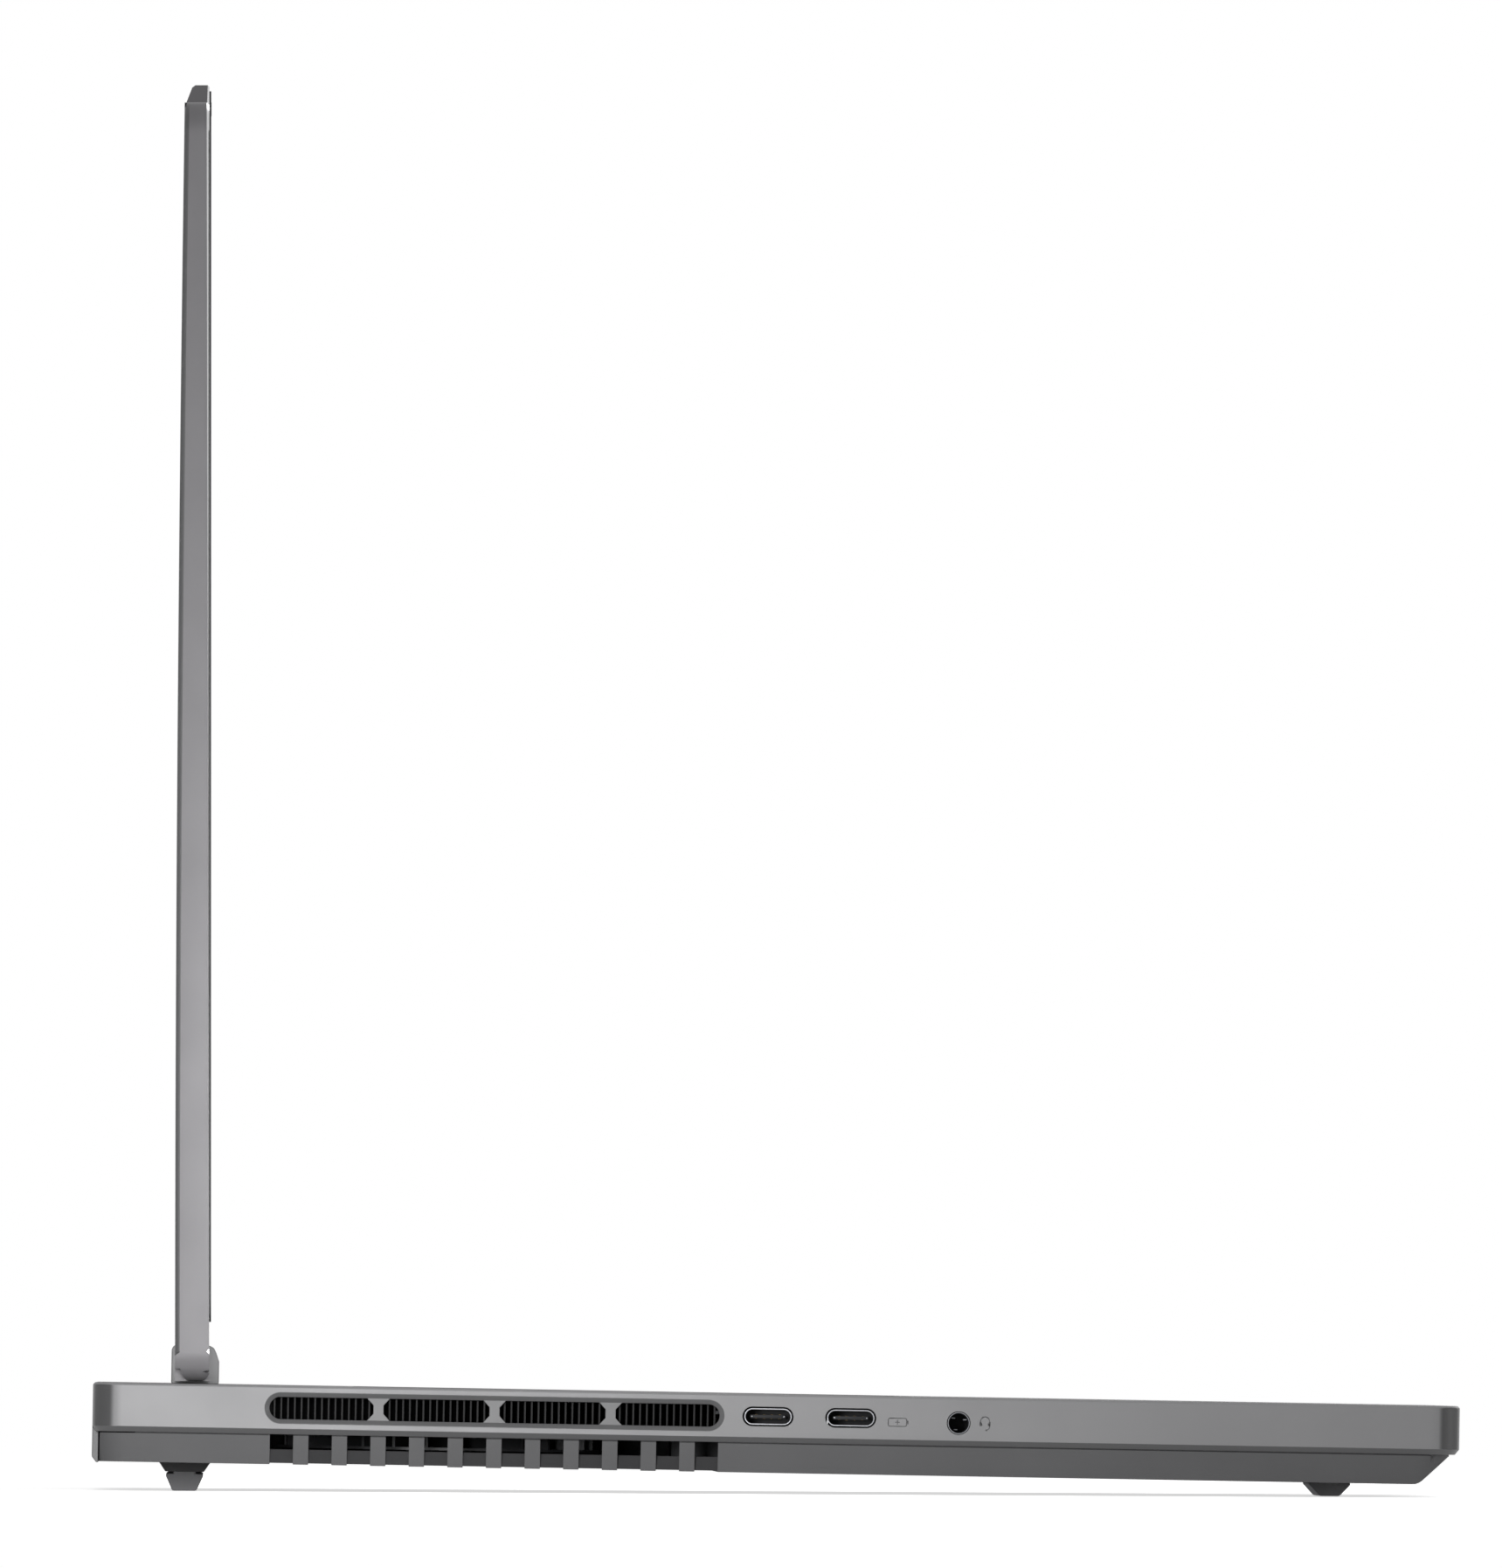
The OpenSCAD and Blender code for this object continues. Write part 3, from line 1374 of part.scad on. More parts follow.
module display_panel() {
    w = picture_w + panel_edge;
    top = picture_low + picture_h + panel_edge - 1;
    color([0.03, 0.03, 0.04]) on_lid()
        block(-w / 2, w / 2, -panel_front, -panel_front + panel_t, picture_low - panel_edge, top);
}

module lid_bezel() {
    low = pocket_low + seat_clear;
    high = lid_top - lid_rim - seat_clear;
    half = hw - lid_rim - seat_clear;
    color([0.05, 0.05, 0.06]) on_lid() difference() {
        block(-half, half, -lid_front, -lid_front + bezel_t, low, high);
        block(-picture_w / 2, picture_w / 2, -9, 9, picture_low, picture_low + picture_h);
        block(-28, 28, -9, 9, lid_top - 6, lid_top);
    }
}

module lid_gasket() {
    half = hw - 0.8;
    low = pocket_low - 0.5;
    high = lid_top - 0.9;
    mid = (low + high) / 2;
    r = lid_corner_r - 0.8;
    color([0.07, 0.07, 0.08]) on_lid() translate([0, -lid_front - gasket_t / 2, mid]) difference() {
        along_y(gasket_t) round_rect(2 * half, high - low, r);
        along_y(gasket_t + cut) round_rect(2 * (half - gasket_w), high - low - 2 * gasket_w, r - gasket_w / 2);
    }
}

// Camera board, its lens and the dark strip over it
module camera_module() {
    lens_z = lid_top + 1.6;
    color([0.06, 0.06, 0.07]) on_lid() {
        block(-ledge_w / 2 + 6, ledge_w / 2 - 6, -lid_front - gasket_t, -lid_front,
            lid_top - 0.7, lid_top + ledge_h - 1.1);
        block(-25, 25, -lid_front, -0.7, lid_top - 2.4, lid_top + ledge_h - 1.3);
        translate([0, -0.7, lens_z]) rotate([90, 0, 0]) cylinder(r = 1.3, h = lid_front + gasket_t - 0.65);
    }
}

// ---------- the assembly ----------

top_case();
rear_trim();
side_vent_left();
side_vent_right();
bottom_cover();
rear_foot();
front_foot();
bottom_screws();
motherboard();
processor();
graphics_chip();
memory_modules();
storage_drive();
wireless_card();
battery_pack();
speaker_left();
speaker_right();
heat_sink_left();
heat_sink_right();
heat_sink_rear_left();
heat_sink_rear_right();
heat_pipes();
cold_plate();
fan_housing_left();
fan_housing_right();
fan_rotor_left();
fan_rotor_right();
keyboard_frame();
keyboard_plate();
function_keys();
number_keys();
upper_letter_keys();
middle_letter_keys();
lower_letter_keys();
modifier_keys();
space_bar();
touchpad();
touchpad_bracket();
power_button();
oval_port_left_rear();
oval_port_left_front();
headphone_jack();
flat_port_right();
shutter_switch();
flat_ports_rear();
oval_port_rear();
video_port();
power_inlet();
hinge_housing_left();
hinge_housing_right();
hinge_bracket_left();
hinge_bracket_right();
hinge_arm_left();
hinge_arm_right();
lid_cover();
lid_chin_strip();
display_panel();
lid_bezel();
lid_gasket();
camera_module();
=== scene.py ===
# %% [markdown]
# # Dressing a notebook computer
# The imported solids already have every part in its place: an aluminium case, a lid on
# two hinges, a keyboard, a touchpad, fans, sockets and feet. This lesson gives those
# parts their looks. Broad machined parts keep their solid form with softened edges,
# and small visible pieces such as keycaps and socket rings are worked out as surfaces.

# %% Loading the solids
import math

import bmesh
import bpy
import numpy as np
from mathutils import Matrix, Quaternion, Vector


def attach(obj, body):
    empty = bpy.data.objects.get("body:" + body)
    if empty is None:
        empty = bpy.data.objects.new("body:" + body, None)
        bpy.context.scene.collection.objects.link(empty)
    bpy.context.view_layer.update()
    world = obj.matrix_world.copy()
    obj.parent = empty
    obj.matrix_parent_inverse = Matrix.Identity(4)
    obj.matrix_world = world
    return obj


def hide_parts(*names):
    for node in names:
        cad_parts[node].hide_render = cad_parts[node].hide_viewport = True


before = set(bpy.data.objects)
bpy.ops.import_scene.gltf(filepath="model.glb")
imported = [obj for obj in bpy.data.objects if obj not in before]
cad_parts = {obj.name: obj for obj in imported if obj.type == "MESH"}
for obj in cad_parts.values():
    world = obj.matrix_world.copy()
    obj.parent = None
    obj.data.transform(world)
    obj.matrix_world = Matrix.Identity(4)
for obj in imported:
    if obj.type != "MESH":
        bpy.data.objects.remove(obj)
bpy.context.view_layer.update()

# %% [markdown]
# ## Where the deck and the lid are
# The case stands on a tall rear foot and a low front foot, so its deck leans a little.
# Pieces are worked out in millimetres on the level deck, or on the upright lid, and
# two functions carry them to their place in metres. Whole arrays go through at once.

# %% Places
MM = 0.001
TILT = math.radians(0.701326)
DECK_H, SHIFT_Y = 18.6527, -0.088741
HALF_W, HALF_D = 172.5, 127.25
HINGE_Y, HINGE_H = HALF_D - 19, 3.0
LID_LEAN = math.radians(-1.0)


def turned(p, angle):
    """Points turned about X: y' = y cos a - z sin a and z' = y sin a + z cos a."""
    x, y, z = np.moveaxis(np.asarray(p, float), -1, 0)
    c, s = math.cos(angle), math.sin(angle)
    return np.stack([x, y * c - z * s, y * s + z * c], -1)


def on_deck(p):
    """Deck millimetres to metres: turn by the tilt, then lift by the deck's height."""
    return (turned(p, TILT) + [0, SHIFT_Y, DECK_H]) * MM


def on_lid(p):
    """Lid millimetres to metres: lean back about the hinge axis, then ride the deck."""
    return on_deck(turned(p, LID_LEAN) + [0, HINGE_Y, HINGE_H])


def to_deck(p):
    """Metres back to deck millimetres: on_deck undone, its last step first."""
    return turned(np.asarray(p) / MM - [0, SHIFT_Y, DECK_H], -TILT)


def to_lid(p):
    """Metres back to lid millimetres."""
    return turned(to_deck(p) - [0, HINGE_Y, HINGE_H], -LID_LEAN)


print("deck centre:", on_deck([0, 0, 0]), "lid top:", on_lid([0, -2.55, 235.5]))

# %% [markdown]
# ## Turning arrays into meshes
# A surface is a grid of points: one direction runs along it, the other across. The
# same numbering of its squares serves any number of equal grids, so a whole keyboard
# or a ring of blades is one call. A piece is then hung on the body that carries it.

# %% Mesh helpers


def squares(rows, columns, copies=1, wrap=False):
    """Corner numbers of the squares of a grid: square (i, j) has the corners i*n+j,
    i*n+j+1, (i+1)*n+j+1 and (i+1)*n+j, with j taken round when the grid wraps."""
    i, j = np.meshgrid(np.arange(rows - 1), np.arange(columns - (0 if wrap else 1)), indexing="ij")
    k = (j + 1) % columns
    here, there = i * columns, (i + 1) * columns
    one = np.stack([here + j, here + k, there + k, there + j], -1)
    shift = np.arange(copies)[:, None, None] * rows * columns
    return (one.reshape(1, -1, 4) + shift).reshape(-1, 4)


def caps(rows, columns, copies=1, row=0, flip=False):
    """One many-sided face over a wrapped grid's row, for each copy."""
    first = (np.arange(copies) * rows + row) * columns
    ring = np.arange(columns)[None, :] + first[:, None]
    return ring[:, ::-1] if flip else ring


def piece(name, points, faces, place, body, finish, stands_for=(), smooth=35):
    """Makes the object from points in millimetres and hangs it. faces is a list of
    (corner numbers, place in finish) blocks."""
    mesh = bpy.data.meshes.new(name)
    lists = [face for block, _ in faces for face in np.asarray(block).tolist()]
    kinds = np.concatenate([np.full(len(block), kind) for block, kind in faces]).astype(np.int32)
    mesh.from_pydata(place(np.asarray(points, float).reshape(-1, 3)), [], lists)
    thing = hang(name, mesh, body, finish, stands_for, smooth)
    mesh.polygons.foreach_set("material_index", kinds)
    return thing


def hang(name, mesh, body, finish, stands_for=(), smooth=35):
    """Gives a mesh its finish and its body, and hides the solids that it stands for."""
    thing = bpy.data.objects.new(name, mesh)
    bpy.context.scene.collection.objects.link(thing)
    for one in finish if isinstance(finish, (list, tuple)) else [finish]:
        mesh.materials.append(one)
    mesh.polygons.foreach_set("use_smooth", np.ones(len(mesh.polygons), bool))
    mesh.set_sharp_from_angle(angle=math.radians(smooth))
    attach(thing, body)
    if stands_for:
        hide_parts(*stands_for)
    print("made", name, "with", len(mesh.polygons), "faces on", body)
    return thing


def outward(mesh):
    """Recalculates the side that each face points to, for a closed mesh."""
    shape = bmesh.new()
    shape.from_mesh(mesh)
    bmesh.ops.recalc_face_normals(shape, faces=shape.faces)
    shape.to_mesh(mesh)
    shape.free()


# %% [markdown]
# ## Softening machined edges
# A milled or moulded edge is never knife sharp: it has a break of a tenth or two of a
# millimetre, which catches a thin line of light. A merged copy of the solid, with its
# flat facets joined and a small bevel on its sharp edges, gives that line. The solid
# itself is left alone, because the motion model still uses it.

# %% Softened copies


def softened(node, body, finish, radius=0.15, pick=None, angle=32, rims=(), flat=1.0):
    """Copies a solid, merges its corners, joins its flat facets and bevels its edges by
    radius mm, or leaves them sharp for 0.
    rims are (chooser, millimetres, steps, place in finish) for edges with a wider cut
    of their own. pick gives each face's place in finish from its centre and normal, and
    flat is the angle in degrees below which two facets count as one plane."""
    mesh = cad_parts[node].data.copy()
    mesh.materials.clear()
    shape = bmesh.new()
    shape.from_mesh(mesh)
    bmesh.ops.remove_doubles(shape, verts=shape.verts, dist=2e-6)
    bmesh.ops.dissolve_degenerate(shape, dist=1e-6, edges=shape.edges)
    bmesh.ops.dissolve_limit(shape, angle_limit=math.radians(flat), use_dissolve_boundaries=False,
                             verts=shape.verts, edges=shape.edges, delimit=set())
    for chooser, wide, steps, kind in rims:
        edges = [e for e in shape.edges if len(e.link_faces) == 2 and chooser(e)]
        bmesh.ops.bevel(shape, geom=edges, offset=wide * MM, offset_type="OFFSET", segments=steps,
                        profile=0.5, affect="EDGES", material=kind, clamp_overlap=False)
        print("cut", len(edges), "edges of", node)
    shape.to_mesh(mesh)
    shape.free()
    for layer in [a.name for a in mesh.attributes if a.name == "custom_normal"]:
        mesh.attributes.remove(mesh.attributes[layer])
    thing = hang(node + "_dressed", mesh, body, finish, (node,), angle)
    if pick:
        count = len(mesh.polygons)
        centre, normal = np.zeros(count * 3), np.zeros(count * 3)
        mesh.polygons.foreach_get("center", centre)
        mesh.polygons.foreach_get("normal", normal)
        chosen = pick(centre.reshape(-1, 3), normal.reshape(-1, 3)).astype(np.int32)
        mesh.polygons.foreach_set("material_index", chosen)
    if radius:
        edge = thing.modifiers.new("edge break", "BEVEL")
        edge.width = radius * MM
        edge.segments = 2
        edge.limit_method = "ANGLE"
        edge.angle_limit = math.radians(angle)
        edge.use_clamp_overlap = False
        edge.harden_normals = True
    return thing


# %% [markdown]
# ## How finishes are built
# Colours are written as sRGB hex values, the way a paint card gives them, and turned
# to linear light once. Patterns read Object coordinates in metres, so a scale of 1/s
# gives features of s metres, and every size below is in real millimetres.

# %% Colour and node helpers


def linear(code, alpha=1.0):
    """sRGB hex to linear: c/12.92 up to 0.04045, above it ((c + 0.055)/1.055)^2.4."""
    c = np.array([int(code[i:i + 2], 16) for i in (1, 3, 5)]) / 255
    light = np.where(c <= 0.04045, c / 12.92, ((c + 0.055) / 1.055) ** 2.4)
    return (*light.tolist(), alpha)


def add(tree, kind, values=(), links=()):
    """Adds a node, sets its properties or sockets by name or number, and links it."""
    node = tree.nodes.new(kind)
    for key, value in dict(values).items():
        if isinstance(key, str) and key in node.bl_rna.properties:
            setattr(node, key, value)
        else:
            node.inputs[key].default_value = value
    for key, source in dict(links).items():
        tree.links.new(source, node.inputs[key])
    return node


def surfaced(name, colour, shade, roughness, metallic=0.0, blotch=14.0, grain=0.5, depth=0.02,
             shine=0.5, **sockets):
    """A finish in three layers: a soft blotch of blotch mm that moves the colour from
    colour to shade, the same blotch moving the roughness by 0.05, and a grain of
    grain mm that raises bumps of depth mm. shine scales the mirror part of the light:
    a matt coat has less than the 0.5 of a bare plastic."""
    finish = bpy.data.materials.new(name)
    finish.use_nodes = True
    tree = finish.node_tree
    tree.nodes.clear()
    place = add(tree, "ShaderNodeTexCoord").outputs["Object"]
    wide, fine = (add(tree, "ShaderNodeTexNoise", {"Scale": 1 / (size * MM), "Detail": detail},
                      {"Vector": place}) for size, detail in ((blotch, 4.0), (grain, 2.0)))
    tint = add(tree, "ShaderNodeMix", {"data_type": "RGBA", 6: linear(colour), 7: linear(shade)},
               {0: wide.outputs["Fac"]})
    rough = add(tree, "ShaderNodeMapRange",
                {"To Min": roughness - 0.05, "To Max": roughness + 0.05},
                {"Value": wide.outputs["Fac"]})
    bump = add(tree, "ShaderNodeBump", {"Strength": 0.35, "Distance": depth * MM},
               {"Height": fine.outputs["Fac"]})
    skin = add(tree, "ShaderNodeBsdfPrincipled",
               {"Metallic": metallic, "Specular IOR Level": shine, **sockets},
               {"Base Color": tint.outputs[2], "Roughness": rough.outputs[0],
                "Normal": bump.outputs[0]})
    add(tree, "ShaderNodeOutputMaterial", {}, {"Surface": skin.outputs[0]})
    finish.diffuse_color = linear(colour)
    return finish


# %% [markdown]
# ## Metals
# The case is bead-blasted and anodised aluminium: the blasting leaves a fine even
# grain, and the clear oxide layer scatters part of the light, so the metal looks
# satin, not like a mirror. The real grain is about a tenth of a millimetre, too fine to
# show on a whole machine, so it is drawn at a third. A diamond-cut edge is smooth and
# bright. The lower cover is painted magnesium, which is darker and flatter. The fins are
# blackened and hardly gleam, and screws are blackened steel with a dull shine. Copper,
# spring steel and nickel-plated steel are for the parts inside and the sockets.

# %% Metal finishes
case_metal = surfaced("anodised_aluminium_grey", "#707071", "#6B6B6C", 0.5, 0.15, grain=0.35,
                      depth=0.012, shine=0.2)


def paint_corner_shade(finish, depth=0.68):
    """Paints shade into the upright corners: the base colour is scaled darker part way round each
    corner, standing for the dark band of shade that the corners show. The product of the normal's x
    and y is 0 on the flat sides and 0.5 half way round a corner."""
    tree = finish.node_tree
    shader = next(n for n in tree.nodes if n.type == "BSDF_PRINCIPLED")
    normal = add(tree, "ShaderNodeNewGeometry").outputs["Normal"]
    parts = add(tree, "ShaderNodeSeparateXYZ", {}, {0: normal})
    turn = add(tree, "ShaderNodeMath", {"operation": "MULTIPLY"},
               {0: parts.outputs[0], 1: parts.outputs[1]})
    size = add(tree, "ShaderNodeMath", {"operation": "ABSOLUTE"}, {0: turn.outputs[0]})
    shade = add(tree, "ShaderNodeMapRange",
                {"interpolation_type": "SMOOTHSTEP", "From Min": 0.24, "From Max": 0.4,
                 "To Min": 1.0, "To Max": 1 - depth}, {"Value": size.outputs[0]})
    before = shader.inputs["Base Color"].links[0].from_socket
    corner_shaded = add(tree, "ShaderNodeVectorMath", {"operation": "SCALE"},
               {0: before, "Scale": shade.outputs[0]})
    tree.links.new(corner_shaded.outputs[0], shader.inputs["Base Color"])


# Painted shade: the case's upright corners are darkened in its colour.
paint_corner_shade(case_metal)
lid_metal = surfaced("anodised_aluminium_lid", "#656466", "#605F61", 0.5, 0.15, grain=0.35,
                     depth=0.012, shine=0.2)
cut_edge = surfaced("diamond_cut_aluminium", "#C2C2C3", "#BBBBBC", 0.24, 1.0, grain=0.3,
                    depth=0.004)
cover_metal = surfaced("painted_magnesium_dark", "#4E4E4F", "#49494A", 0.7, 0.05, grain=0.4,
                       depth=0.015, shine=0.2)
# Painted shade: the recess under the cover's slots is darkened in its colour.
recess_shade_metal = surfaced("painted_magnesium_recess_shade", "#2F2F30", "#29292A", 0.7, 0.05, grain=0.4,
                        depth=0.015, shine=0.1)
# Painted shade: a darker copy of the case metal for the lower edge facet that turns under and for
# the lid's rounded back edges.
edge_shade_metal = surfaced("anodised_aluminium_painted_edge_shade", "#454546", "#3F3F40", 0.5, 0.2, grain=0.35,
                       depth=0.012)
housing_metal = surfaced("painted_aluminium_hinge", "#7E7E7F", "#767677", 0.5, 0.2, grain=0.3,
                         depth=0.01)
rib_metal = surfaced("painted_aluminium_rib", "#565657", "#515152", 0.5, 0.2, grain=0.3,
                     depth=0.01, shine=0.3)
vent_metal = surfaced("painted_aluminium_vent", "#535354", "#4D4D4E", 0.5, 0.2, grain=0.3,
                      depth=0.01)
fin_metal = surfaced("blackened_aluminium_fins", "#141415", "#101011", 0.6, 0.2, blotch=6,
                     depth=0.01, shine=0.2)
copper = surfaced("lacquered_copper", "#B87A55", "#A56845", 0.32, 1.0, blotch=9, depth=0.01)
spring_steel = surfaced("rolled_spring_steel", "#8D8E92", "#7E7F83", 0.34, 1.0, blotch=8,
                        depth=0.01)
port_steel = surfaced("nickel_plated_steel", "#96979B", "#88898D", 0.3, 1.0, blotch=3, grain=0.25,
                      depth=0.006)
screw_and_socket_shade_steel = surfaced("blackened_steel_and_socket_shade", "#3C3D40", "#2E2F31", 0.4, 0.8, blotch=2, grain=0.25,
                       depth=0.006)
button_metal = surfaced("anodised_aluminium_button", "#9A9DA1", "#8F9296", 0.38, 0.8, blotch=6,
                        grain=0.3, depth=0.01)

# %% [markdown]
# ## Plastics, rubber, boards and glass
# Keycaps and trims are moulded ABS or polycarbonate: no metal, an index of 1.5 and a fine
# spark-eroded grain. The feet are a soft rubber that hardly shines. The board is epoxy glass under
# a green lacquer. The display is a dark cell behind a glossy glass, and the touchpad is glass that
# is etched to a silky matt. A near-black sheet behind the fins is painted shade and swallows nearly
# all light, and printed inks are matt. Gold on the contacts is thin, with a soft shine.

# %% Plastic, rubber, board and glass finishes
dark_plastic = surfaced("moulded_polycarbonate_dark", "#38393B", "#313234", 0.5, grain=0.35,
                        depth=0.02)
trim_plastic = surfaced("painted_polycarbonate_trim", "#3C3C3D", "#373738", 0.5, grain=0.35,
                        depth=0.02)
inner_plastic = surfaced("moulded_abs_black", "#1A1B1D", "#151618", 0.6, grain=0.4, depth=0.03,
                         shine=0.2)
key_plastic = surfaced("coated_abs_keycaps", "#232427", "#1E1F22", 0.52, blotch=9, grain=0.3,
                       depth=0.02)
foot_rubber = surfaced("moulded_silicone_rubber", "#868688", "#7D7D7F", 0.78, blotch=7,
                       grain=0.45, depth=0.05)
bezel_plastic = surfaced("matt_bezel_plastic", "#141416", "#101012", 0.46, grain=0.3, depth=0.015)
gasket_rubber = surfaced("soft_gasket_rubber", "#1C1C1E", "#161618", 0.72, blotch=5, grain=0.4,
                         depth=0.03)
battery_wrap = surfaced("battery_film_wrap", "#17181B", "#121316", 0.35, blotch=20, grain=0.8,
                        depth=0.03)
circuit_board = surfaced("lacquered_circuit_board", "#14432C", "#0F3824", 0.4, blotch=3,
                         grain=0.9, depth=0.04)
chip_silicon = surfaced("moulded_chip_epoxy", "#26272A", "#1F2023", 0.42, blotch=3, grain=0.2,
                        depth=0.01)
touch_glass = surfaced("etched_touch_glass", "#55575A", "#505255", 0.38, grain=0.25, depth=0.004)
sheet_of_shade = surfaced("near_black_shade_sheet", "#060607", "#040405", 0.9, blotch=5, grain=0.4,
                      depth=0.02, shine=0.05)
legend_ink = surfaced("printed_legend_ink", "#C9CBCE", "#BFC1C4", 0.6, blotch=4, grain=0.2,
                      depth=0.004)
sign_ink = surfaced("printed_sign_ink", "#3A3A3B", "#343435", 0.6, blotch=3, grain=0.2, depth=0.002)
contact_gold = surfaced("gold_plated_contact", "#D8BC82", "#C9AB70", 0.25, 1.0, blotch=1,
                        grain=0.2, depth=0.002)
display_glass = surfaced("display_cover_glass", "#050607", "#070809", 0.07, blotch=40, grain=4,
                         depth=0.0, IOR=1.52)
lens_glass = surfaced("coated_lens_glass", "#0A0D16", "#07080F", 0.04, blotch=1, grain=1,
                      depth=0.0, IOR=1.6)

# %% [markdown]
# ## Finishes for the solids that stay
# Parts deep inside are seen only through vents and the keyboard's gaps. Their solids
# keep their own shape, and each takes the finish of the real part by its slots.

# %% Dressing the inner solids
inner = {
    circuit_board: ["motherboard", "memory_modules", "storage_drive", "wireless_card"],
    chip_silicon: ["processor", "graphics_chip"],
    battery_wrap: ["battery_pack"],
    inner_plastic: ["speaker_left", "speaker_right", "fan_housing_left", "fan_housing_right",
                    "keyboard_frame"],
    fin_metal: ["heat_sink_left", "heat_sink_right", "heat_sink_rear_left", "heat_sink_rear_right"],
    copper: ["heat_pipes", "cold_plate"],
    spring_steel: ["keyboard_plate", "touchpad_bracket", "hinge_bracket_left",
                   "hinge_bracket_right", "hinge_arm_left", "hinge_arm_right"],
    key_plastic: ["function_keys", "number_keys", "upper_letter_keys", "middle_letter_keys",
                  "lower_letter_keys", "modifier_keys", "space_bar"],
    port_steel: ["oval_port_left_rear", "oval_port_left_front", "flat_port_right",
                 "flat_ports_rear", "oval_port_rear", "video_port"],
    dark_plastic: ["headphone_jack", "power_inlet", "shutter_switch", "fan_rotor_left",
                   "fan_rotor_right"],
    display_glass: ["display_panel"],
    bezel_plastic: ["lid_bezel", "camera_module"],
    gasket_rubber: ["lid_gasket"],
}
for finish, names in inner.items():
    for name in names:
        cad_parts[name].data.materials.clear()
        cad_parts[name].data.materials.append(finish)
print("dressed", sum(len(names) for names in inner.values()), "solids")

# %% [markdown]
# ## The upper case
# The keyboard deck and the side band are one milled tray. Its lower edge is a facet that turns
# under, and its shade is painted in: the copy has two finishes, and a face goes to the darker one
# when it points down and lies on the outside.

# %% Upper case and bottom cover
# Millimetres: the width of the outside zone, the recess as seen from the outline and
# its top, and the middle height of a side vent with half its own height.
EDGE_ZONE = 3.0
RECESS_FROM, RECESS_TO, RECESS_TOP = 4.0, 2.4, -9.3
VENT_Z, VENT_HALF = -4.2, 2.4


def under_edge(centre, normal):
    """1 where a face leans down and lies within the edge zone, 0 elsewhere."""
    out_x = np.abs(centre[:, 0]) - (HALF_W - EDGE_ZONE) * MM
    out_y = np.abs(centre[:, 1]) - (HALF_D - EDGE_ZONE) * MM
    return (np.maximum(out_x, out_y) > 0) & (normal[:, 2] < -0.3) & (normal[:, 2] > -0.95)


def in_recess(centre, normal):
    """1 on the set-back faces below the slots in the cover's sides, which take the painted shade, 0
    elsewhere.
    """
    spot = to_deck(centre)
    inset = HALF_W - np.abs(spot[:, 0])
    chosen = (inset > RECESS_TO) & (inset < RECESS_FROM) & (spot[:, 2] < RECESS_TOP)
    chosen &= np.abs(normal[:, 0]) > 0.9
    print("recess faces:", int(chosen.sum()))
    return chosen


def rib_front(centre, normal):
    """1 on the flat fronts of the vent's ribs and rim, 0 on its bevels and inner walls."""
    return (np.abs(normal[:, 0]) > 0.95) & (np.abs(to_deck(centre)[:, 2] - VENT_Z) < VENT_HALF)


softened("top_case", "base", [case_metal, edge_shade_metal], 0.12, under_edge)
softened("bottom_cover", "base", [cover_metal, recess_shade_metal], 0.1, in_recess)
softened("rear_trim", "base", trim_plastic, 0.15)
for side in ("left", "right"):
    softened("side_vent_" + side, "base", [vent_metal, rib_metal], 0.06, rib_front)
    softened("hinge_housing_" + side, "base", housing_metal, 0.25)
softened("rear_foot", "base", foot_rubber, 0.3)
softened("front_foot", "base", foot_rubber, 0.3)
softened("bottom_screws", "base", screw_and_socket_shade_steel, 0.1)
softened("touchpad", "touch_surface", touch_glass, 0.15)
softened("power_button", "power_key", button_metal, 0.2)

# %% [markdown]
# ## Painted shade sheet behind the side fins
# Each side heat sink is backed by a thin near-black sheet over its inner side. It is painted shade:
# it keeps the vents dark and hides the far side of the case.

# %% Painted shade sheets
SHEET_GAP, SHEET_THICK = 0.2, 0.2
box_faces = np.array([[0, 1, 3, 2], [4, 6, 7, 5], [0, 4, 5, 1],
                      [2, 3, 7, 6], [0, 2, 6, 4], [1, 5, 7, 3]])
for side, sign in (("left", -1), ("right", 1)):
    sink = to_deck(np.array([v.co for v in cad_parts["heat_sink_" + side].data.vertices]))
    low, high = sink.min(0), sink.max(0)
    inner_side = np.abs(sink[:, 0]).min()
    across = sign * (inner_side - SHEET_GAP - np.array([SHEET_THICK, 0]))
    grid = np.meshgrid(across, [low[1], high[1]], [low[2], high[2]], indexing="ij")
    sheet = piece("painted_shade_sheet_" + side, np.stack(grid, -1), [(box_faces, 0)], on_deck, "base",
                  sheet_of_shade)
    outward(sheet.data)

# %% [markdown]
# ## The lid
# The lid's back is a shallow pressed and milled tray, crowned towards its far edge.
# Its outline is satin aluminium, like the case. Its edge round the display is cut bright, and the
# back edge of its sides is rounded, with its shade painted darker. Both start above the hinges.

# %% Lid cover and chin strip
# Millimetres on the lid: where the cut edges start, and how near the sides and the top.
HINGE_TOP, SIDE_ZONE, TOP_FROM = 3.2, 6.0, 229.0


def rim(facing):
    """Chooses the outline's edges between a face towards `facing`, in lid terms, and a
    side face that looks outwards."""
    ahead = Vector((on_lid([0, facing, 0]) - on_lid([0, 0, 0])).tolist()).normalized()

    def chooser(edge):
        one, two = (face.normal.dot(ahead) for face in edge.link_faces)
        if not (max(one, two) > 0.95 and abs(min(one, two)) < 0.3):
            return False
        x, _, z = to_lid(np.array([v.co for v in edge.verts])).mean(0)
        return z > HINGE_TOP and (abs(x) > HALF_W - SIDE_ZONE or (z > TOP_FROM and facing < 0))
    return chooser


softened("lid_cover", "lid", [lid_metal, cut_edge, edge_shade_metal], 0,
         flat=0.02, rims=[(rim(-1), 0.5, 1, 1), (rim(1), 0.9, 3, 2)])
softened("lid_chin_strip", "lid", dark_plastic, 0.15)

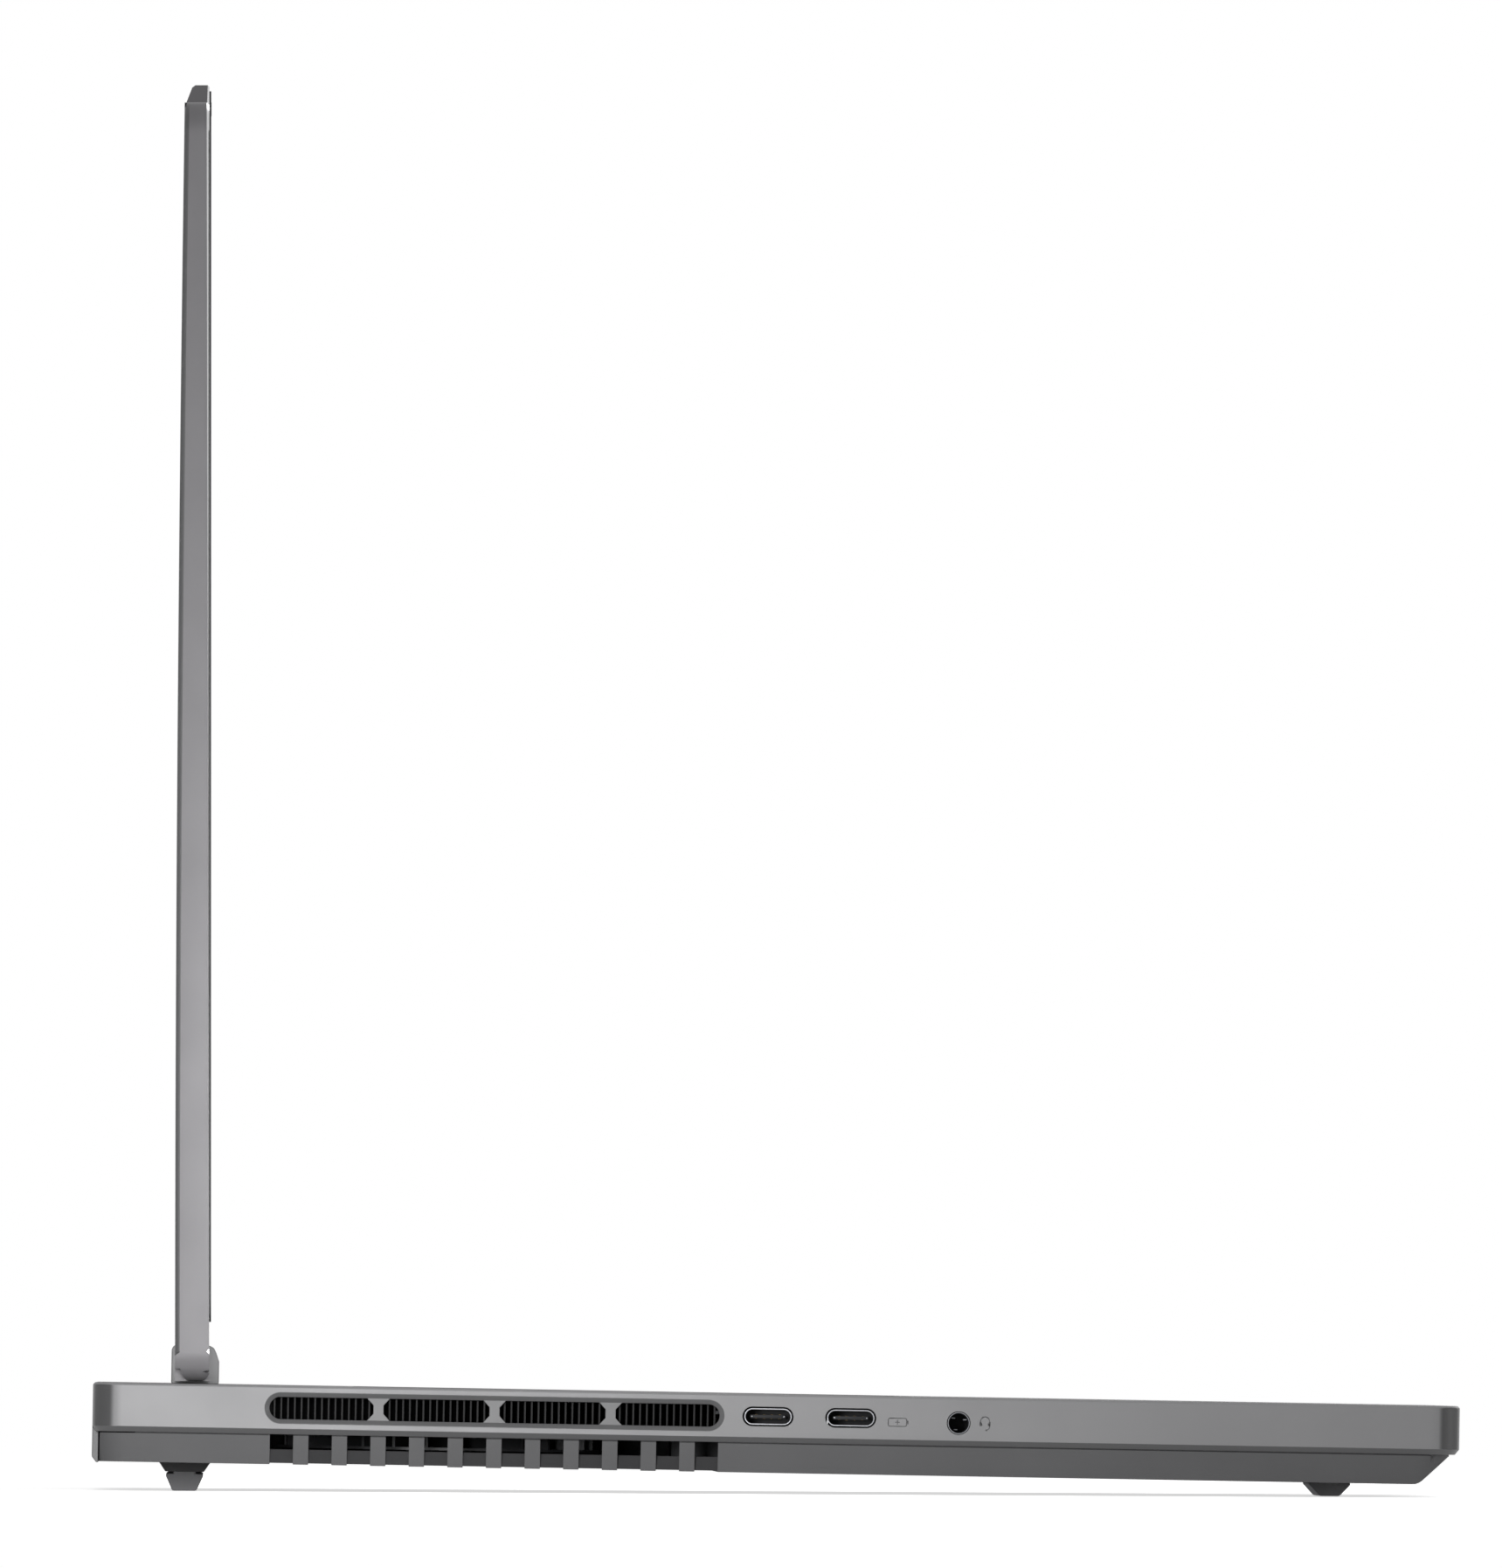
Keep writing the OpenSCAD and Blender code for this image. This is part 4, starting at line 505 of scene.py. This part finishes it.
# %% [markdown]
# ## Outlines and shells
# Sockets, keycaps, lenses and knobs are all one idea: a round-cornered outline that
# grows or shrinks as it travels along a profile. The profile is a short list of
# (growth, travel) pairs in millimetres, and the grid has one row for each pair.

# %% Outline and shell


def outline(w, h, r, steps=7):
    """Rounded rectangle, anticlockwise: each corner is centre + r (cos a, sin a), with
    the centres at (w/2 - r, h/2 - r) and a running through the corner's quarter turn."""
    w, h, r = (np.asarray(v, float)[..., None] for v in (w, h, r))
    a = np.linspace(0, math.pi / 2, steps)[None, :] + np.arange(4)[:, None] * math.pi / 2
    sx = np.repeat([1, -1, -1, 1], steps)
    sy = np.repeat([1, 1, -1, -1], steps)
    a = a.ravel()
    return np.stack([sx * (w / 2 - r) + r * np.cos(a), sy * (h / 2 - r) + r * np.sin(a)], -1)


def shell(w, h, r, profile, steps=7):
    """Grid (row, around, 3) of an outline carried along a profile: row k is the outline
    grown by profile[k][0] on every side, at the height profile[k][1]."""
    grow, travel = np.array(profile, float).T
    flat = outline(w + 2 * grow, h + 2 * grow, np.maximum(r + grow, 0.02), steps)
    return np.concatenate([flat, np.broadcast_to(travel[:, None, None], flat.shape[:2] + (1,))], -1)


def joined(parts):
    """Stacks (grid, faces of that grid, place in finish) parts into one point list and
    one face list, each part's numbers moved on by the points before it."""
    points, faces, start = [], [], 0
    for grid, blocks in parts:
        flat = np.asarray(grid, float).reshape(-1, 3)
        faces += [(np.asarray(block) + start, kind) for block, kind in blocks]
        points.append(flat)
        start += len(flat)
    return np.concatenate(points), faces


def walls(grid, kind, ends=(None, None), inside=False):
    """Faces of one shell grid, and an end face at its first or last row where asked."""
    rows, around = grid.shape[:2]
    blocks = [(squares(rows, around, wrap=True), kind)]
    if ends[0] is not None:
        blocks.append((caps(rows, around, row=0, flip=True), ends[0]))
    if ends[1] is not None:
        blocks.append((caps(rows, around, row=rows - 1), ends[1]))
    return [(block[:, ::-1] if inside else block, kind) for block, kind in blocks]


# %% [markdown]
# ## Sockets
# A socket is a drawn steel shell with a rolled lip, and a moulded tongue with plated
# contacts stands in it. The shell is worked out looking into its mouth: across, up,
# and depth. The same shell serves the small oval sockets and the wide flat ones.

# %% Socket makers
INSET = 0.15  # how far a mouth lies behind the case's face, in millimetres


def facing(side, across, height):
    """Carries (across, up, depth) to the case's left or right side, or to its rear."""
    def place(p):
        u, v, d = p.T
        if side == "rear":
            return on_deck(np.stack([across - u, HALF_D - INSET - d, height + v], -1))
        s = 1 if side == "right" else -1
        return on_deck(np.stack([s * (HALF_W - INSET - d), across + s * u, height + v], -1))
    return place


LIP = [(0, 1.2), (0, 0.14), (-0.03, 0.05), (-0.09, 0.0), (-0.19, 0.0), (-0.26, 0.05), (-0.29, 0.14)]


def socket(name, node, place, w, h, r, tongue, contacts=4, depth=7.0, finish=None):
    """Shell, dark floor, tongue (width, height, rise) and contact strips as one piece. The deepest
    ring of the shell's wall takes the blackened steel as painted shade.
    """
    skin = shell(w, h, r, LIP + [(-0.3, depth)])
    around = skin.shape[1]
    (sides, _), floor_face = walls(skin, 0, (None, 1), inside=True)
    # Painted shade: the shell's deepest ring of wall takes the dark steel.
    parts = [(skin, [(sides[:-around], 0), (sides[-around:], 3), floor_face])]
    wide, thick, rise = tongue
    bar = shell(wide, thick, min(0.34, thick / 2 - 0.02),
                [(-0.12, 1.0), (-0.03, 1.04), (0, 1.15), (0, depth - 0.1)]) + [0, rise, 0]
    parts.append((bar, walls(bar, 1, (1, None))))
    strip = shell(0.42, 0.03, 0.01, [(0, 1.3), (0, depth - 1.5)], 2)
    for x in (np.arange(contacts) - (contacts - 1) / 2) * wide / (contacts + 0.6):
        for s in (-1, 1):
            pad = strip + [x, rise + s * thick / 2, 0]
            parts.append((pad, walls(pad, 2, (2, None))))
    points, faces = joined(parts)
    finishes = [finish or port_steel, inner_plastic, contact_gold, screw_and_socket_shade_steel]
    return piece(name, points, faces, place, "base", finishes, (node,) if node else ())


OVAL, OVAL_TONGUE = (8.94, 3.16, 1.58), (6.7, 0.72, 0)
FLAT, FLAT_TONGUE = (13.2, 5.6, 0.5), (11.2, 1.8, 1.1)
BOARD_TOP, REAR_Z = -5.95, -9.75
OVAL_Z = BOARD_TOP + 3.16 / 2 + 0.15
OVAL_Y = {"rear": HALF_D - 125.7, "front": HALF_D - 141.1}
FLAT_Y, FLAT_Z = HALF_D - 133, BOARD_TOP + 2.8 - 1.2
for side, y in OVAL_Y.items():
    socket("oval_socket_left_" + side, "oval_port_left_" + side, facing("left", y, OVAL_Z), *OVAL,
           OVAL_TONGUE)
socket("oval_socket_rear", "oval_port_rear", facing("rear", 14, REAR_Z), *OVAL, OVAL_TONGUE)
socket("flat_socket_right", "flat_port_right", facing("right", FLAT_Y, FLAT_Z), *FLAT, FLAT_TONGUE)

# %% [markdown]
# ## Bright tips of the tongues
# Inside each small oval socket a steel plate runs through the tongue, and its two
# latching corners show as bright points at the ends. Two tiny domes stand for them.

# %% Tongue tips
for side, y in OVAL_Y.items():
    dome = shell(0.01, 0.01, 0.0, [(0.19, 1.08), (0.16, 0.99), (0.1, 0.94), (0.04, 0.92)][::-1], 4)
    points, faces = joined([(dome + [s * 3.0, 0.02, 0], walls(dome, 0, (0, 0))) for s in (-1, 1)])
    piece("tongue_tips_left_" + side, points, faces, facing("left", y, OVAL_Z), "base", port_steel)

# %% [markdown]
# ## Rear sockets and headphone jack
# At the back are two flat sockets, a video socket and the power inlet. The jack is a
# round bore with a thin plated ring, and spring contacts sit deeper in it.

# %% Rear sockets and jack
socket("video_socket", "video_port", facing("rear", 34, REAR_Z), 15.0, 5.0, 0.9, (11.0, 1.0, 0))
socket("power_socket", "power_inlet", facing("rear", 58, REAR_Z), 11.6, 5.2, 0.6, (5.0, 1.6, 0),
       contacts=2, finish=dark_plastic)
first = socket("flat_socket_rear_a", None, facing("rear", -26, REAR_Z), *FLAT, FLAT_TONGUE)
second = socket("flat_socket_rear_b", None, facing("rear", -5, REAR_Z), *FLAT, FLAT_TONGUE)
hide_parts("flat_ports_rear")
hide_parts("flat_ports_rear")

JACK, JACK_Z = HALF_D - 161.2, -4.8
JACK_RING = [(0, 0.9), (0, 0.1), (-0.05, 0.03), (-0.12, 0.03), (-0.16, 0.1)]
bore = shell(4.1, 4.1, 2.05, JACK_RING + [(-0.3, 0.35), (-0.34, 9.0)], 12)
leaf = shell(0.8, 0.3, 0.12, [(-0.1, 3.2), (0, 3.4), (0, 7.0)], 3)
plated = bore.shape[1] * (len(JACK_RING) - 1)
(sides, _), floor_face = walls(bore, 0, (None, 1), inside=True)
parts = [(bore, [(sides[:plated], 0), (sides[plated:], 1), floor_face])]
for a in (0.5, 2.4, 4.3):
    spring = leaf + [1.35 * math.cos(a), 1.35 * math.sin(a), 0]
    parts.append((spring, walls(leaf, 2, (2, None))))
points, faces = joined(parts)
piece("headphone_bore", points, faces, facing("left", JACK, JACK_Z), "base",
      [port_steel, inner_plastic, spring_steel], ("headphone_jack",))

# %% [markdown]
# ## Signs beside the sockets
# Small signs are printed on the case in a darker ink: a battery for the charging
# socket, and a headset for the jack. They are thin flat ribbons on the side face.
# A ribbon follows a path, and its two edges lie half its width to each side.

# %% Printed signs
INK = 0.001  # thickness of the print in millimetres


def ribbon(path, width, closed=False):
    """Strip along a flat path: each point moves by half the width along the normal of
    the path there, which is the direction to the next point turned by a quarter."""
    path = np.asarray(path, float)
    ahead = np.roll(path, -1, 0) - np.roll(path, 1, 0) if closed else np.gradient(path, axis=0)
    ahead /= np.linalg.norm(ahead, axis=1, keepdims=True)
    side = np.stack([-ahead[:, 1], ahead[:, 0]], -1) * width / 2
    flat = np.stack([path + side, path - side], 0)
    grid = np.concatenate([flat, np.full(flat.shape[:2] + (1,), -INSET - INK)], -1)
    return grid, squares(2, len(path), wrap=closed)


def arc(cx, cy, rx, ry, start, end, steps=14):
    """Points of an elliptic arc between two angles in degrees."""
    a = np.radians(np.linspace(start, end, steps))
    return np.stack([cx + rx * np.cos(a), cy + ry * np.sin(a)], -1)


headset = [
    (arc(0, 0.35, 0.86, 0.95, 0, 180), 0.16, False),
    ([(-0.86, 0.35), (-0.86, -0.1), (-0.86, -0.45)], 0.3, False),
    ([(0.86, 0.35), (0.86, -0.1), (0.86, -0.45)], 0.3, False),
    ([(-0.62, 0.1), (-0.62, -0.15), (-0.62, -0.4)], 0.16, False),
    ([(0.62, 0.1), (0.62, -0.15), (0.62, -0.4)], 0.16, False),
    (arc(0.2, -0.45, 0.66, 0.72, 0, -80, 8), 0.14, False),
    (arc(0.25, -1.2, 0.12, 0.1, 0, 330, 10), 0.14, True),
]
battery = [
    (outline(3.4, 1.5, 0.3, 4), 0.16, True),
    ([(1.92, 0.34), (1.92, 0.0), (1.92, -0.34)], 0.22, False),
    ([(-0.45, 0.0), (0.0, 0.0), (0.45, 0.0)], 0.15, False),
    ([(0.0, 0.45), (0.0, 0.0), (0.0, -0.45)], 0.15, False),
]
SIGN_Z = -4.85
for name, strokes, y in (("headset_sign", headset, JACK - 4.9),
                         ("battery_sign", battery, HALF_D - 149.8)):
    ribbons = [ribbon(*stroke) for stroke in strokes]
    points, faces = joined([(grid, [(block[:, ::-1], 0)]) for grid, block in ribbons])
    piece(name, points, faces, facing("left", y, SIGN_Z), "base", sign_ink)

# %% [markdown]
# ## Keycaps
# Each keycap is a shell moulded in ABS: upright sides, a rounded shoulder and a top
# that is dished by a few hundredths of a millimetre, so it catches light at the
# middle. All keys of a row move together here, so each row is one piece, and all of
# its caps are computed in one array: outline, profile row and key are its axes.

# %% Keyboard layout
KEY_V, FUNCTION_V, KEY_GAP, PAD_GAP = 17.9, 11.5, 2.6, 3.0
PAD_RATIO, KEYS_W = 0.864, 319.0
KEY_U = (KEYS_W - PAD_GAP) / (14.5 + 4 * PAD_RATIO)
KEYS_REAR, KEY_TOP, KEY_T = HALF_D - 50, -0.15, 1.4
ROWS = {
    "function_keys": ("function_key_row", [1] * 13 + [1.5],
                      "esc F1 F2 F3 F4 F5 F6 F7 F8 F9 F10 F11 F12 del", [1] * 4,
                      "home end pgup pgdn"),
    "number_keys": ("number_key_row", [1] * 13 + [1.5],
                    "` 1 2 3 4 5 6 7 8 9 0 - = back", [1] * 4, "num / * -"),
    "upper_letter_keys": ("upper_key_row", [1.5] + [1] * 13,
                          "tab Q W E R T Y U I O P [ ] \\", [1] * 4, "7 8 9 +"),
    "middle_letter_keys": ("middle_key_row", [1.75] + [1] * 11 + [1.75],
                           "caps A S D F G H J K L ; ' enter", [1] * 4, "4 5 6 _"),
    "lower_letter_keys": ("lower_key_row", [2.25] + [1] * 10 + [1.25, 1],
                          "shift Z X C V B N M , . / shift up", [1] * 4, "1 2 3 _"),
    "modifier_keys": ("modifier_key_row", [1.25, 1, 1, 1, 5.25, 1, 1, 1, 1, 1],
                      "ctrl fn _ alt _ alt ctrl left down right", [2, 1, 1], "0 . enter"),
}
SPACE = 4  # the space bar's place in the last row


def row_boxes(order, widths, pad):
    """Centre and size of each key of a row: x runs on by the widths, y by the rows."""
    rear = KEYS_REAR - (FUNCTION_V + (order - 1) * KEY_V if order else 0)
    deep = KEY_V if order else FUNCTION_V
    boxes = []
    for start, unit, sizes in ((-KEYS_W / 2, KEY_U, widths),
                               (-KEYS_W / 2 + 14.5 * KEY_U + PAD_GAP, KEY_U * PAD_RATIO, pad)):
        left = start + np.concatenate([[0], np.cumsum(sizes)[:-1]]) * unit
        size = np.array(sizes) * unit
        boxes.append(np.stack([left + size / 2, np.full(len(size), rear - deep / 2), size - KEY_GAP,
                               np.full(len(size), deep - KEY_GAP)], -1))
    return np.concatenate(boxes)


def keycaps(boxes):
    """Grid (key, row, around, 3). Up the side and over the shoulder the outline shrinks
    by the profile, then it shrinks by shares of its size, as the dish falls as
    0.05 (1 - s*s) mm for the share s."""
    grow = np.array([-0.02, 0, 0, -0.05, -0.14, -0.28, -0.28, -0.28, -0.28])
    share = np.array([1, 1, 1, 1, 1, 1, 0.85, 0.5, 0.15])
    height = np.array([-KEY_T, -KEY_T + 0.05, -0.3, -0.13, -0.04, 0, 0, 0, 0])
    height -= 0.05 * (1 - share ** 2)
    w = (boxes[:, None, 2] + 2 * grow) * share
    d = (boxes[:, None, 3] + 2 * grow) * share
    flat = outline(w, d, np.broadcast_to((1.3 + grow) * share, w.shape), 5)
    tall = np.broadcast_to(height[None, :, None, None] + KEY_TOP, flat.shape[:3] + (1,))
    return np.concatenate([flat + boxes[:, None, None, :2], tall], -1)


for order, (node, (body, widths, words, pad, pad_words)) in enumerate(ROWS.items()):
    boxes = row_boxes(order, widths, pad)
    groups = [(node, body, boxes)]
    if node == "modifier_keys":
        groups = [(node, body, np.delete(boxes, SPACE, 0)),
                  ("space_bar", "space_key", boxes[SPACE:SPACE + 1])]
    for name, mover, chosen in groups:
        grid = keycaps(chosen)
        count, rows, around = grid.shape[:3]
        faces = [(squares(rows, around, count, wrap=True), 0),
                 (caps(rows, around, count, 0, flip=True), 0),
                 (caps(rows, around, count, rows - 1), 0)]
        piece(name + "_caps", grid, faces, on_deck, mover, key_plastic, (name,), 50)

# %% [markdown]
# ## Legends
# The legends are plain letters, digits and words in the built-in font, filled and
# laid a hundredth of a millimetre over the caps. Arrows are drawn as triangles. Each
# word is turned into a mesh once and reused, and its points are placed as arrays.

# %% Legend maker
known = {}
ARROWS = {"up": 90, "down": 270, "left": 180, "right": 0}
LETTER, ARROW, WORD, INK_RISE, MARGIN = 4.2, 2.9, 2.5, 0.012, 1.6


def word(text, size):
    """Points and faces of a word, flat, with its middle at zero, in millimetres."""
    if (text, size) in known:
        return known[text, size]
    if text in ARROWS:
        a = np.radians(ARROWS[text] + np.array([0, 130, 230]))
        known[text, size] = (np.stack([np.cos(a), np.sin(a), 0 * a], -1) * size * 0.42, [[0, 1, 2]])
        return known[text, size]
    line = bpy.data.curves.new("legend", "FONT")
    line.body, line.size, line.resolution_u = text, size, 2
    thing = bpy.data.objects.new("legend", line)
    bpy.context.scene.collection.objects.link(thing)
    shown = thing.evaluated_get(bpy.context.evaluated_depsgraph_get())
    mesh = bpy.data.meshes.new_from_object(shown)
    points = np.zeros(len(mesh.vertices) * 3)
    mesh.vertices.foreach_get("co", points)
    points = points.reshape(-1, 3)
    points -= (points.min(0) + points.max(0)) / 2
    known[text, size] = points, [list(p.vertices) for p in mesh.polygons]
    bpy.data.objects.remove(thing)
    bpy.data.meshes.remove(mesh)
    return known[text, size]


# %% Printing the legends
for order, (node, (body, widths, words, pad, pad_words)) in enumerate(ROWS.items()):
    points, faces, start = [], [], 0
    for box, text in zip(row_boxes(order, widths, pad), words.split() + pad_words.split()):
        if text == "_":
            continue
        flat, polygons = word(text, LETTER if len(text) == 1 else ARROW if text in ARROWS else WORD)
        half = (flat.max(0) - flat.min(0)) / 2
        spot = np.array([box[0], box[1], KEY_TOP + INK_RISE])
        if len(text) > 3 and text not in ARROWS:
            spot[0] += half[0] + MARGIN - box[2] / 2
        points.append(flat + spot)
        faces += [[n + start for n in polygon] for polygon in polygons]
        start += len(flat)
    mesh = bpy.data.meshes.new(node + "_legends")
    mesh.from_pydata(on_deck(np.concatenate(points)), [], faces)
    hang(node + "_legends", mesh, body, legend_ink)

# %% [markdown]
# ## Camera above the display
# A webcam is a small stack of lenses behind a dark window: a black ring, a domed
# front lens, and a tiny lamp beside it that shows when it is on.

# %% Camera lens
LENS_Z = 237.1


def before_lid(x, z):
    """Carries (across, up, depth) to the lid's front, near (x, z)."""
    def place(p):
        u, v, d = p.T
        return on_lid(np.stack([x + u, -2.9 + d, z + v], -1))
    return place


RING = [(0, 0.3), (0, 0.0), (-0.06, -0.05), (-0.25, -0.05), (-0.32, 0.0), (-0.45, 0.1)]
ring = shell(2.7, 2.7, 1.35, RING, 9)
dome = shell(1.8, 1.8, 0.9, [(-0.85, -0.02), (-0.6, 0.0), (-0.3, 0.05), (0, 0.12)], 9)
points, faces = joined([(ring, walls(ring, 0)), (dome, walls(dome, 1, (1, None)))])
piece("camera_lens", points, faces, before_lid(0, LENS_Z), "lid", [bezel_plastic, lens_glass])
dot = shell(0.8, 0.8, 0.4, [(-0.35, -0.04), (-0.2, -0.03), (0, 0.02)], 5)
points, faces = joined([(dot, walls(dot, 0, (0, None)))])
piece("camera_lamp", points, faces, before_lid(6, LENS_Z), "lid", legend_ink)

# %% [markdown]
# ## Camera
# The machine is seen exactly from its left side, from far away with a long lens, so
# that both the deck and the open display are edge on. The camera stands at the
# height of the deck and in the plane of the display's face, and looks a little past
# the hinge so that the whole lid is in the frame.

# %% Camera
# Metres: how far off the camera stands, the width that its frame takes in at the case's
# side, and the planes that it looks along. The roll is in degrees.
DISTANCE, FRAME_WIDTH = 13.4, 0.2917
SIDE_PLANE, LID_PLANE, DECK_LEVEL = -HALF_W * MM, 0.105, 0.0240
ROLL = 0.31
aim = Vector((SIDE_PLANE, 0.00532, 0.13213))
stand = Vector((SIDE_PLANE - DISTANCE, LID_PLANE, DECK_LEVEL))
camera_data = bpy.data.cameras.new("side camera")
camera_data.sensor_width = 36.0
camera_data.lens = camera_data.sensor_width * DISTANCE / FRAME_WIDTH
camera_data.clip_start = 0.1
camera_data.clip_end = 60.0
camera = bpy.data.objects.new("side camera", camera_data)
bpy.context.scene.collection.objects.link(camera)
look = (aim - stand).to_track_quat("-Z", "Y")
camera.location = stand
camera.rotation_mode = "QUATERNION"
camera.rotation_quaternion = look @ Quaternion((0, 0, 1), math.radians(ROLL))
bpy.context.scene.camera = camera
print("camera at", tuple(stand), "lens", round(camera_data.lens, 1), "mm")

# %% [markdown]
# ## Floor, background and light
# A pale floor carries the machine's soft shadow. Light Path gives the world and the
# floor their white for the camera, for glossy and for transmitted rays only, so the
# background is white while the lamps stay plain and soft.

# %% Floor and world


def seen_directly(tree):
    """1 for camera, glossy and transmission rays, 0 for the rest: the largest of three."""
    path = add(tree, "ShaderNodeLightPath")
    one = add(tree, "ShaderNodeMath", {"operation": "MAXIMUM"},
              {0: path.outputs["Is Camera Ray"], 1: path.outputs["Is Glossy Ray"]})
    return add(tree, "ShaderNodeMath", {"operation": "MAXIMUM"},
               {0: one.outputs[0], 1: path.outputs["Is Transmission Ray"]}).outputs[0]


floor_finish = bpy.data.materials.new("pale_studio_floor")
floor_finish.use_nodes = True
tree = floor_finish.node_tree
tree.nodes.clear()
paint = add(tree, "ShaderNodeBsdfDiffuse", {"Color": linear("#F6F6F6")})
glow = add(tree, "ShaderNodeEmission", {"Color": (1, 1, 1, 1)})
level = add(tree, "ShaderNodeMath", {"operation": "MULTIPLY", 1: 0.65}, {0: seen_directly(tree)})
tree.links.new(level.outputs[0], glow.inputs["Strength"])
both = add(tree, "ShaderNodeAddShader", {}, {0: paint.outputs[0], 1: glow.outputs[0]})
add(tree, "ShaderNodeOutputMaterial", {}, {"Surface": both.outputs[0]})

reach = 45.0
floor_mesh = bpy.data.meshes.new("floor")
corners = [(-reach, -reach, 0), (reach, -reach, 0), (reach, reach, 0), (-reach, reach, 0)]
floor_mesh.from_pydata(corners, [], [(0, 1, 2, 3)])
floor_mesh.materials.append(floor_finish)
floor = bpy.data.objects.new("floor", floor_mesh)
bpy.context.scene.collection.objects.link(floor)

world = bpy.data.worlds.new("studio")
bpy.context.scene.world = world
world.use_nodes = True
tree = world.node_tree
tree.nodes.clear()
soft = add(tree, "ShaderNodeBackground", {"Color": (1, 1, 1, 1), "Strength": 0.38})
white = add(tree, "ShaderNodeBackground", {"Color": (1, 1, 1, 1), "Strength": 1.0})
mixed = add(tree, "ShaderNodeMixShader", {},
            {0: seen_directly(tree), 1: soft.outputs[0], 2: white.outputs[0]})
add(tree, "ShaderNodeOutputWorld", {}, {"Surface": mixed.outputs[0]})
print("floor", 2 * reach, "m across")

# %% Lamps


def lamp(name, place, aim, size, power):
    """Square soft box of size metres at place, turned to aim, of power watts."""
    data = bpy.data.lights.new(name, "AREA")
    data.size = size
    data.energy = power
    box = bpy.data.objects.new(name, data)
    bpy.context.scene.collection.objects.link(box)
    box.location = place
    box.rotation_mode = "QUATERNION"
    box.rotation_quaternion = (Vector(aim) - Vector(place)).to_track_quat("-Z", "Y")
    box.visible_camera = False
    print("lamp", name, "at", place, "with", power, "W")


lamp("rear side soft box", (-0.50, 0.115, 0.045), (-0.17, 0.105, 0.03), 0.09, 1.37)
lamp("overhead soft box", (0.1, -0.2, 1.6), (0, 0, 0.05), 1.2, 7.0)
lamp("front strip", (-0.22, -0.75, 0.06), (-0.17, -0.125, 0.01), 0.12, 0.9)
lamp("far side soft box", (1.3, -0.6, 0.8), (0, 0, 0.1), 1.0, 7.0)

view = bpy.context.scene.view_settings
view.view_transform = "Standard"
